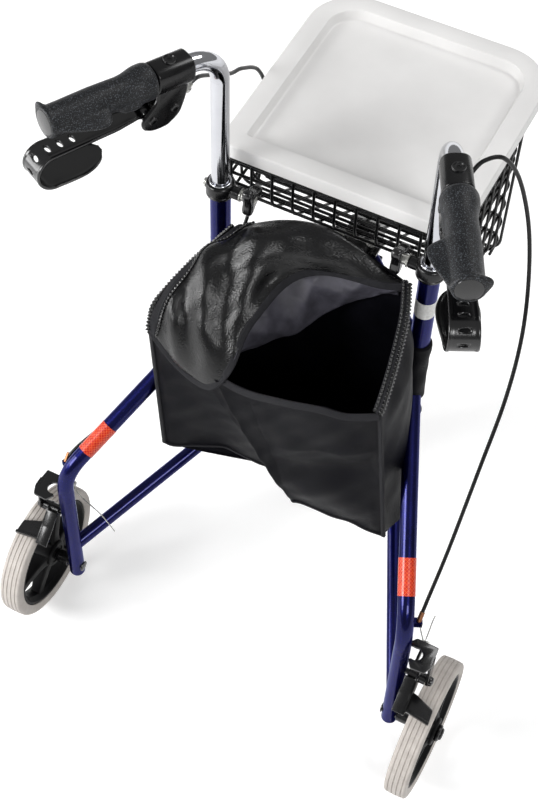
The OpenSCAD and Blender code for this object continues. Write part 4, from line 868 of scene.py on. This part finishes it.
# bare wire: from the ferrule at the cable's end to the clamp, then a loose tail; outward, Y, Z in mm
wire = {"r": 0.8, "steps": 8, "faces": 8, "points": 12, "ferruleR": 3.3, "ferrule": (-9, -3, 3, 4)}
stop, clamp = (258, -216, 332.4), (266, -200, 244)
tails = {"right": [clamp, (266, -190, 248), (264, -169, 250), (264, -160, 252)],
         "left": [clamp, (250, -212, 246), (204, -228, 248), (174, -243, 250)]}
slope = unit(np.array([0, -21, -17.6]))
wireRing = ring(wire["r"], wire["faces"])
down = np.linspace(0, 1, wire["points"])[:, None]
wireTop = np.array(stop) + slope * wire["ferrule"][-1]
for side, sign in sides.items():
    straight = (wireTop * (1 - down) + np.array(clamp) * down) * [sign, 1, 1]
    bare = piece(f"brakeWire_{side}", [sweep(straight, wireRing, (1, 0, 0))], zinc)
    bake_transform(bare)
    tail = through(np.array(tails[side], float) * [sign, 1, 1], wire["steps"])
    piece(f"wireTail_{side}", [sweep(tail, wireRing, (0, 0.2, 1))], zinc, f"{side}_brake")
ferruleLine = np.array(stop) + slope * np.array(wire["ferrule"])[:, None]
pair("cableFerrule", [sweep(ferruleLine, ring(wire["ferruleR"], 20), (1, 0, 0))], copper, "frame", ())
print("brakes made")


# reflective tape round the upper rail: a short tube, its pattern laid along it
reflector = {"from": 215, "long": 48, "r": 11.45, "in": 11.06, "slope": math.degrees(math.atan2(161, 261.2)),
             "top": 492, "around": 65}
tapeTurn = np.linspace(0, 2 * np.pi, reflector["around"])
tapeR = np.array([reflector["in"], reflector["r"], reflector["r"], reflector["in"]])[:, None]
tapeZ = np.array([0, 0.02, reflector["long"] - 0.02, reflector["long"]])[:, None]
tube = stacked(tapeR * np.cos(tapeTurn), tapeR * np.sin(tapeTurn), tapeZ)
wrap = stacked(tapeTurn * reflector["r"], tapeZ).reshape(-1, 2) * mm


# down the rail's slope from its upper end
def onRail(p):
    return tilted(p, 90 - reflector["slope"], 1, 2) * [1, 1, -1] + [0, 0, reflector["top"]]


tapePoints, tapeFaces = put(grid(tube), shifted(0, 0, reflector["from"]), onRail, onFrame)
for side, sign in sides.items():
    piece(f"reflectiveTape_{side}", [(tapePoints * [sign, 1, 1], tapeFaces)], tape, f"{side}_frame",
          [f"reflector_{side}"], 50, wrap)

# bare label on the right upright
labelLine = [(12.75, 643), (12.9, 643.1), (12.9, 669.9), (12.75, 670)]
piece("bareLabel", [put(lathe(labelLine, 64), onUpright)], film, "right_frame", ())
print("tape and label made")


# bag: panels ruled between a bottom loop and the sagging mouth, creases pressed in along the outward direction
bag = {"rows": 84, "wall": 2.2, "folded": 0.2, "tape": 4.6, "cord": 2.3, "counts": (200, 64, 80, 48), "sag": 7}
behind = np.array([0, walker["axleY"], 0.0])  # points are measured ahead from the rear axle
mouthRear = [(-157, 92, 602), (-100, 84, 588), (-27, 72, 584), (31, 70, 598), (80, 75, 608), (111, 81, 607),
             (147, 93, 616)]
mouthRight = [(147, 93, 616), (148, 102, 628), (143, 140, 652), (132, 190, 678), (116, 229, 690)]
mouthFront = [(116, 229, 690), (98, 231, 693), (57, 232, 711), (38, 233, 717), (13, 233, 724), (-20, 233, 721),
              (-46, 232, 711), (-72, 231, 696), (-118, 229, 665)]
mouthLeft = [(-118, 229, 665), (-125, 192, 664), (-137, 152, 659), (-156, 104, 635), (-157, 92, 602)]
lowRear = [(-164, 121, 312), (163, 125, 312)]
lowRight = [(163, 125, 312), (163, 165, 313), (158, 196, 314), (134, 218, 315), (123, 231, 316)]
lowFront = [(123, 231, 316), (-123, 231, 316)]
lowLeft = [(-123, 231, 316), (-164, 121, 312)]


# smooth line through points, drawn with an even count
def edge(points, count):
    return spread(through(points, 12), count) + behind


# fixed irregular waves: sum of sines over both shares
def ripple(u, v, waves):
    return sum(high * np.sin(2 * np.pi * (a * u + b * v) + c) for high, a, b, c in waves)


# a crease: sharp along d = 0, fading over a width
def ridge(d, wide):
    return np.exp(-np.abs(d) / wide)


# 0 at both ends of a share, 1 between, over a width
def between(u, wide):
    return smoothStep(u / wide) * smoothStep((1 - u) / wide)


# rear panel, outward mm: left of the crease it falls in, right of it it stands out; a dent from the right
def rearPress(u, v):
    crease = 0.57 - 0.27 * v
    middle = v * (1 - v)
    rightHalf = smoothStep((u - 0.5) / 0.2)
    fallen = (5 + 22 * (1 - v)) * (1 - smoothStep((u - crease + 0.055) / 0.09)) * smoothStep(u / 0.26)
    fold = 6 * ridge(u - crease - 0.035, 0.03) - 12 * ridge(u - crease - 0.03 - 0.13 * v, 0.03) * middle
    fold = fold + 9 * ridge(u - crease + 0.13 * v, 0.035) * middle
    dent = -8 * hump(v - 0.55 * (u - 0.7), 0.42, 0.10) * rightHalf
    dent = dent + 3 * ridge(v - 0.66 - 0.4 * (u - 0.8), 0.06) * rightHalf
    swell = 9 * hump(u, 0.76, 0.2) * hump(v, 0.2, 0.16) + 6 * np.sin(np.pi * u) * np.sin(np.pi * v)
    small = ripple(u, v, [(0.8, 3.1, 2.2, 0.3), (0.6, 5.3, -3.9, 1.7), (0.4, -8.1, 6.4, 4.0)])
    return between(u, 0.05) * (fold + dent + swell + small - fallen)


# other walls: a slight sine hollow and small waves
def sidePress(u, v):
    small = ripple(u, v, [(1.0, 1.3, 2.1, 0.8), (0.6, 2.9, -3.3, 2.4)])
    return between(u, 0.1) * (-4 * np.sin(np.pi * v) + small)


# right wall: stands out below the zip, up to the upright
def rightPress(u, v):
    return sidePress(u, v) + 13 * smoothStep(u / 0.45) * smoothStep((1 - u) / 0.3) * smoothStep((1 - v) / 0.16)


panels = []
for mouth, low, count, press in zip((mouthRear, mouthRight, mouthFront, mouthLeft),
                                    (lowRear, lowRight, lowFront, lowLeft), bag["counts"],
                                    (rearPress, rightPress, sidePress, sidePress)):
    upper = edge(mouth, count)
    lower = edge(low, count)
    v = np.linspace(0, 1, bag["rows"])[:, None]
    u = np.linspace(0, 1, count)[None]
    ruled = lower[None] + v[..., None] * (upper - lower)[None]
    panels.append((ruled + normals(ruled) * press(u, v)[..., None])[:, :-1])
walls = np.concatenate(panels, 1)
middle = walls[0].mean(0)
inward = np.array([0.0, 0.25, 0.5, 0.75, 0.93])[:, None, None]
base = middle + (walls[0] - middle) * inward - np.array([0, 0, bag["sag"]]) * (1 - inward ** 3)
shell = np.concatenate([base, walls])
shell = np.concatenate([shell, shell[:, :1]], 1)


# lengths along both ways of a grid, in metres, for the cloth's own pattern
def laid(points):
    across = np.linalg.norm(np.diff(points, axis=1), axis=-1).mean(0)
    up = np.linalg.norm(np.diff(points, axis=0), axis=-1).mean(1)
    u, v = (np.concatenate([[0], np.cumsum(lengths)]) for lengths in (across, up))
    return stacked(u, v[:, None]).reshape(-1, 2) * mm


# cloth with a wall has its lining on the side of the point within
def sewn(name, points, finish, inside=None, wall=0.0, stand=(), within=(0, 0, 0)):
    made = piece(name, [grid(points)], finish, "base", stand, 60, laid(points))
    if wall:
        heart = Vector(np.array(within) * mm)
        if sum(face.normal.dot(face.center - heart) * face.area for face in made.data.polygons) < 0:
            made.data.flip_normals()
        made.data.materials.append(inside)
        cloth = made.modifiers.new("cloth", "SOLIDIFY")
        cloth.thickness = wall * mm
        cloth.offset = -1
        cloth.material_offset = 1
        cloth.material_offset_rim = 1
    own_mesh(made)
    return made


# inner side of the walls in the dark outer cloth, not the lining: painted shade of the bag's deep inside
sewn("bagShell", shell, bagCloth, bagCloth, bag["wall"], ["bag"], (0, -70, 480))

# lid: Coons patch between its rear edge, the mouth's left and front edges and its free edge, then crowned
cover = {"steps": 60, "wall": 1.6, "crown": 12, "fold": 5.6, "foldWide": 0.43}
lidRear = edge([(-155, 86, 604), (-118, 79, 570), (-84, 71, 562), (-60, 66, 568)], cover["steps"])
lidFront = edge([(-116, 228, 668), (-72, 230, 699), (-46, 231, 714), (-18, 232, 724), (13, 232, 727),
                 (38, 231, 720), (58, 230, 713), (90, 228, 695), (117, 226, 690)], cover["steps"])
lidLeft = edge([(-155, 86, 604), (-153, 106, 637), (-136, 153, 663), (-124, 193, 667), (-116, 228, 668)],
               cover["steps"])
lidFree = edge([(-60, 66, 568), (-46, 74, 588), (-39, 92, 617), (-42, 112, 633), (-32, 138, 652),
                (-24, 172, 666), (-7, 194, 677), (19, 206, 683), (59, 211, 686), (95, 215, 686),
                (117, 226, 690)], cover["steps"])
s = np.linspace(0, 1, cover["steps"])[None, :, None]
t = np.linspace(0, 1, cover["steps"])[:, None, None]
lengthwise = (1 - t) * lidRear[None] + t * lidFront[None]
crossing = (1 - s) * lidLeft[:, None] + s * lidFree[:, None]
corners = (1 - t) * ((1 - s) * lidRear[0] + s * lidRear[-1]) + t * ((1 - s) * lidFront[0] + s * lidFront[-1])
lid = lengthwise + crossing - corners


# normals turned to the upper side
def upward(points):
    facing = normals(points)
    return facing * np.sign(facing[..., 2:])


arch = np.sin(np.pi * s) ** 0.6 * np.sin(np.pi * t) ** 0.6
folds = np.cos(2 * np.pi * (s + 1.3 * (t - 0.35) - 0.49) / cover["foldWide"])
wave = cover["crown"] + (cover["fold"] - 2 * t) * folds
wave = wave + ripple(s, t, [(1.0, 2.1, 1.2, 0.4), (0.5, 4.3, -2.8, 2.0)])
lidNormal = upward(lid)
lidNormal[..., 1] = np.minimum(lidNormal[..., 1], 0.3)
lid = lid + lidNormal * arch * wave + arch * (1 - smoothStep(t / 0.55)) * [0, -7, 4]
ceiling = np.interp(np.abs(lid[..., 0]), (62, 88), (732, 695))  # the knobs pass above the corners
lid[..., 2] = np.minimum(lid[..., 2], ceiling)
sewn("bagLid", lid, vinyl, lining, cover["wall"], (), (0, 20, 300))

# lining that hangs from the lid's free edge into the bag: a ruled panel, crumpled by sums of |sin|
drape = {"along": 70, "down": 40, "wall": 0.8, "from": 8, "belly": 6}
hang = edge([(-46, 110, 576), (-34, 122, 579), (-23, 140, 580), (-8, 160, 585), (17, 182, 602), (40, 200, 622),
             (72, 212, 646), (104, 218, 668)], drape["along"])
hemShare = np.linspace(0, 1, drape["along"])[None, :, None]
fallShare = np.linspace(0, 1, drape["down"])[:, None, None]
curtain = spread(lidFree[drape["from"]:], drape["along"])[None] * (1 - fallShare) + hang[None] * fallShare
crumples = [(7, 1.3, 0.35, 0.2), (4, 2.4, -0.7, 0.8), (2.2, 4.1, 0.9, 0.5), (1.0, 7.7, -1.6, 0.1)]
crumple = sum(high * np.abs(np.sin(np.pi * (a * hemShare + b * fallShare + c))) for high, a, b, c in crumples)
crumple = crumple - drape["belly"] * np.sin(np.pi * fallShare)
curtain = curtain + normals(curtain) * crumple * smoothStep(fallShare / 0.08)
sewn("bagCurtain", curtain, lining, lining, drape["wall"], (), (20, 60, 520))


# ribbon folded over an edge: flat oval section, its width in the cloth, its normal as given; beads swell it
def ribbon(name, path, facing, half, thick, finish, beads=0.0, pitch=4.6):
    along = unit(np.gradient(path, axis=0))
    across = unit(np.cross(np.broadcast_to(facing, path.shape), along))
    up = np.cross(along, across)
    q = np.linspace(0, 2 * np.pi, 15)
    flat = half * squared(np.cos(q), 0.5)[None, :, None] * across[:, None]
    tall = thick * squared(np.sin(q), 0.5)[None, :, None] * up[:, None]
    swell = 1 + beads * np.cos(2 * np.pi * runAlong(path) / pitch)[:, None, None]
    return sewn(name, path[:, None] + swell * (flat + tall), finish)


# points along each ribbon
stations = {"lid": 220, "hem": 200, "zip": 340, "tape": 120, "seam": 260, "lidZip": 560}
bound = np.vstack([lidRear, lidFree[1:]])
bound = spread(stacked(*(eased(column, 9) for column in bound.T)), stations["lid"])
turns = ((-0.2, -0.1, 0.3, 0.7, 0.1), (-0.8, -0.9, -0.6, -0.5, -0.8), (0.6, 0.5, 0.7, 0.6, 0.6))
boundShare = np.linspace(0, 1, stations["lid"])
lidFacing = stacked(*(np.interp(boundShare, (0, 0.3, 0.36, 0.5, 1), turn) for turn in turns))
ribbon("lidBinding", bound, lidFacing, bag["tape"], 1.7, binding)
mouthHem = edge(mouthRear, stations["hem"]) + [0, -1.2, -2.5]
ribbon("mouthBinding", mouthHem, (0, -0.9, 0.43), bag["tape"], 1.8, binding)
for name, points, sign in (("Right", mouthRight, 1), ("Left", mouthLeft, -1)):
    zipLine = edge(points, stations["zip"])
    zipFacing = (sign * 0.9, 0.1, 0.4)
    ribbon(f"zip{name}", zipLine, zipFacing, bag["cord"], bag["cord"], polished, 0.4)
    ribbon(f"zipInner{name}", zipLine + [-sign * 7, 0, 2.2], zipFacing, 1.6, 1.6, polished, 0.4)
    tapeLine = spread(zipLine, stations["tape"]) + [-sign * 6, 0, 1.5]
    ribbon(f"zipTape{name}", tapeLine, (0, 0, 1), 4.2, 1.0, binding)
rearWall = walls[:, :bag["counts"][0]]
for name, column, beads in (("Left", 0, 0.0), ("Right", -1, 0.14)):
    ribbon(f"seam{name}", spread(rearWall[:, column], stations["seam"]), (0, -1, 0), 2.6, 2.4, binding, beads)

# zip along the lid's left edge: column of the lid, lift, half width, half thickness, beads, finish
lidZips = {"lidZip": (0, 1.2, 2.8, 2.4, 0.4, polished), "lidTape": (3, 0.8, 4.6, 0.9, 0.0, binding),
           "lidTapeEdge": (6, 1.0, 1.3, 1.2, 0.0, binding), "lidTapeInner": (8, 1.0, 1.5, 1.2, 0.35, polished)}
lidUp = upward(lid)
for name, (column, lift, wide, thick, beads, finish) in lidZips.items():
    raised = np.hstack([lid[:, column] + lift * lidUp[:, column], lidUp[:, column]])
    zipLine = spread(raised, stations["lidZip"])
    ribbon(name, zipLine[:, :3], zipLine[:, 3:], wide, thick, finish, beads)
ribbon("seamLow", spread(rearWall[0], stations["hem"]), (0, -1, -0.3), 2.0, 2.0, binding)
print("bag made")


# sleeves of the bag round the uprights: r over height with soft dents, drawn in at both ends; z from, z to
sleeves = {"high": (481, 588), "low": (410, 450)}
sleeve = {"r": 15.2, "endR": 12.9, "rows": 40, "around": 65}
rowShare = np.linspace(0, 1, sleeve["rows"])[:, None]
sleeveTurn = np.linspace(0, 2 * np.pi, sleeve["around"])[None]
dents = [(0.5, 1, 1.3, 0.6), (0.4, 2, -2.2, 1.1), (0.3, 3, 3.1, 2.0)]
sleeveR = sleeve["r"] + ripple(sleeveTurn / (2 * np.pi), rowShare, dents)
sleeveR = np.where((rowShare < 0.001) | (rowShare > 0.999), sleeve["endR"], sleeveR)
for name, (z0, z1) in sleeves.items():
    height = z0 + rowShare * (z1 - z0)
    cloth = onUpright(stacked(sleeveR * np.cos(sleeveTurn), sleeveR * np.sin(sleeveTurn), height))
    for side, sign in sides.items():
        piece(f"bagSleeve_{name}_{side}", [grid(cloth * [sign, 1, 1])], bagCloth, f"{side}_frame", (),
              60, laid(cloth))
print("bag sleeves made")


# floor: pale, with the rest up to white added for the eye and for mirrors only, more of it far from the lamps
ground = {"half": 30e3, "low": -0.2, "lift": 0.36, "near": 1.5, "far": 5.0}
pale = surface("paleFloor", ("#e9e9e9", "#ececec"), (0.8, 0.9), 900, 200, 0.01, Emission_Color=(1, 1, 1, 1))
rays = addNode(pale, "LightPath").outputs
seen = addNode(pale, "Math", {0: rays["Is Camera Ray"], 1: rays["Is Glossy Ray"]}, operation="MAXIMUM")
seen = addNode(pale, "Math", {0: seen.outputs[0], 1: rays["Is Transmission Ray"]}, operation="MAXIMUM")
away = addNode(pale, "VectorMath", {0: outOf(pale, "where", "Object")}, operation="LENGTH")
rest = addNode(pale, "MapRange", {"Value": away.outputs["Value"], "From Min": ground["near"],
                                  "From Max": ground["far"], "To Min": ground["lift"], "To Max": 1.0},
               interpolation_type="SMOOTHSTEP")
lift = addNode(pale, "Math", {0: seen.outputs[0], 1: rest.outputs[0]}, operation="MULTIPLY")
lead(pale, lift.outputs[0], shader, "Emission Strength")
ends = (-ground["half"], ground["half"])
floor = piece("floor", [grid(np.array([[(x, y, ground["low"]) for y in ends] for x in ends]))], pale)
floor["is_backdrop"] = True

# world: dark round the horizon, pale overhead, so that metal shows bands; the eye meets white, mirrors a part
studio = {"horizon": 0.03, "overhead": 0.42, "from": 0.12, "to": 0.75, "mirrorShare": 0.3}
world = bpy.data.worlds.new("studio")
scene.world = world
world.use_nodes = True
way = addNode(world, "SeparateXYZ", {"Vector": addNode(world, "TexCoord").outputs["Generated"]})
dome = addNode(world, "MapRange", {"Value": way.outputs["Z"], "From Min": studio["from"],
                                   "From Max": studio["to"], "To Min": studio["horizon"],
                                   "To Max": studio["overhead"]},
               interpolation_type="SMOOTHSTEP")
rays = addNode(world, "LightPath").outputs
mirrored = addNode(world, "Math", {0: rays["Is Glossy Ray"], 1: rays["Is Transmission Ray"]},
                   operation="MAXIMUM")
shared = addNode(world, "Math", {0: mirrored.outputs[0], 1: studio["mirrorShare"]}, operation="MULTIPLY")
shown = addNode(world, "Math", {0: rays["Is Camera Ray"], 1: shared.outputs[0]}, operation="MAXIMUM")
glow = addNode(world, "Math", {0: dome.outputs[0], 1: shown.outputs[0]}, operation="MAXIMUM")
lead(world, glow.outputs[0], "Background", "Strength")
world.node_tree.nodes["Background"].inputs["Color"].default_value = (1, 1, 1, 1)

# lamps: place in m, size in m, watts
lamps = {"key": ((-2.2, -2.6, 2.2), 1.4, 105), "low": ((-2.2, -0.9, 0.9), 1.0, 22),
         "top": ((1.0, 1.6, 3.2), 1.2, 34), "right": ((2.0, -1.7, 2.4), 0.9, 34)}
target = np.array([0, 0, 0.5])
for name, (place, size, power) in lamps.items():
    lamp = bpy.data.objects.new(name, bpy.data.lights.new(name, "AREA"))
    scene.collection.objects.link(lamp)
    lamp.data.size = size
    lamp.data.energy = power
    lamp.location = place
    aim = target - np.array(place)
    lamp.rotation_euler = (math.atan2(math.hypot(aim[0], aim[1]), -aim[2]), 0,
                           math.atan2(aim[1], aim[0]) - math.pi / 2)
scene.view_settings.view_transform = "Standard"

low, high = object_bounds()
print("size", [round(v, 4) for v in (*low, *high)])
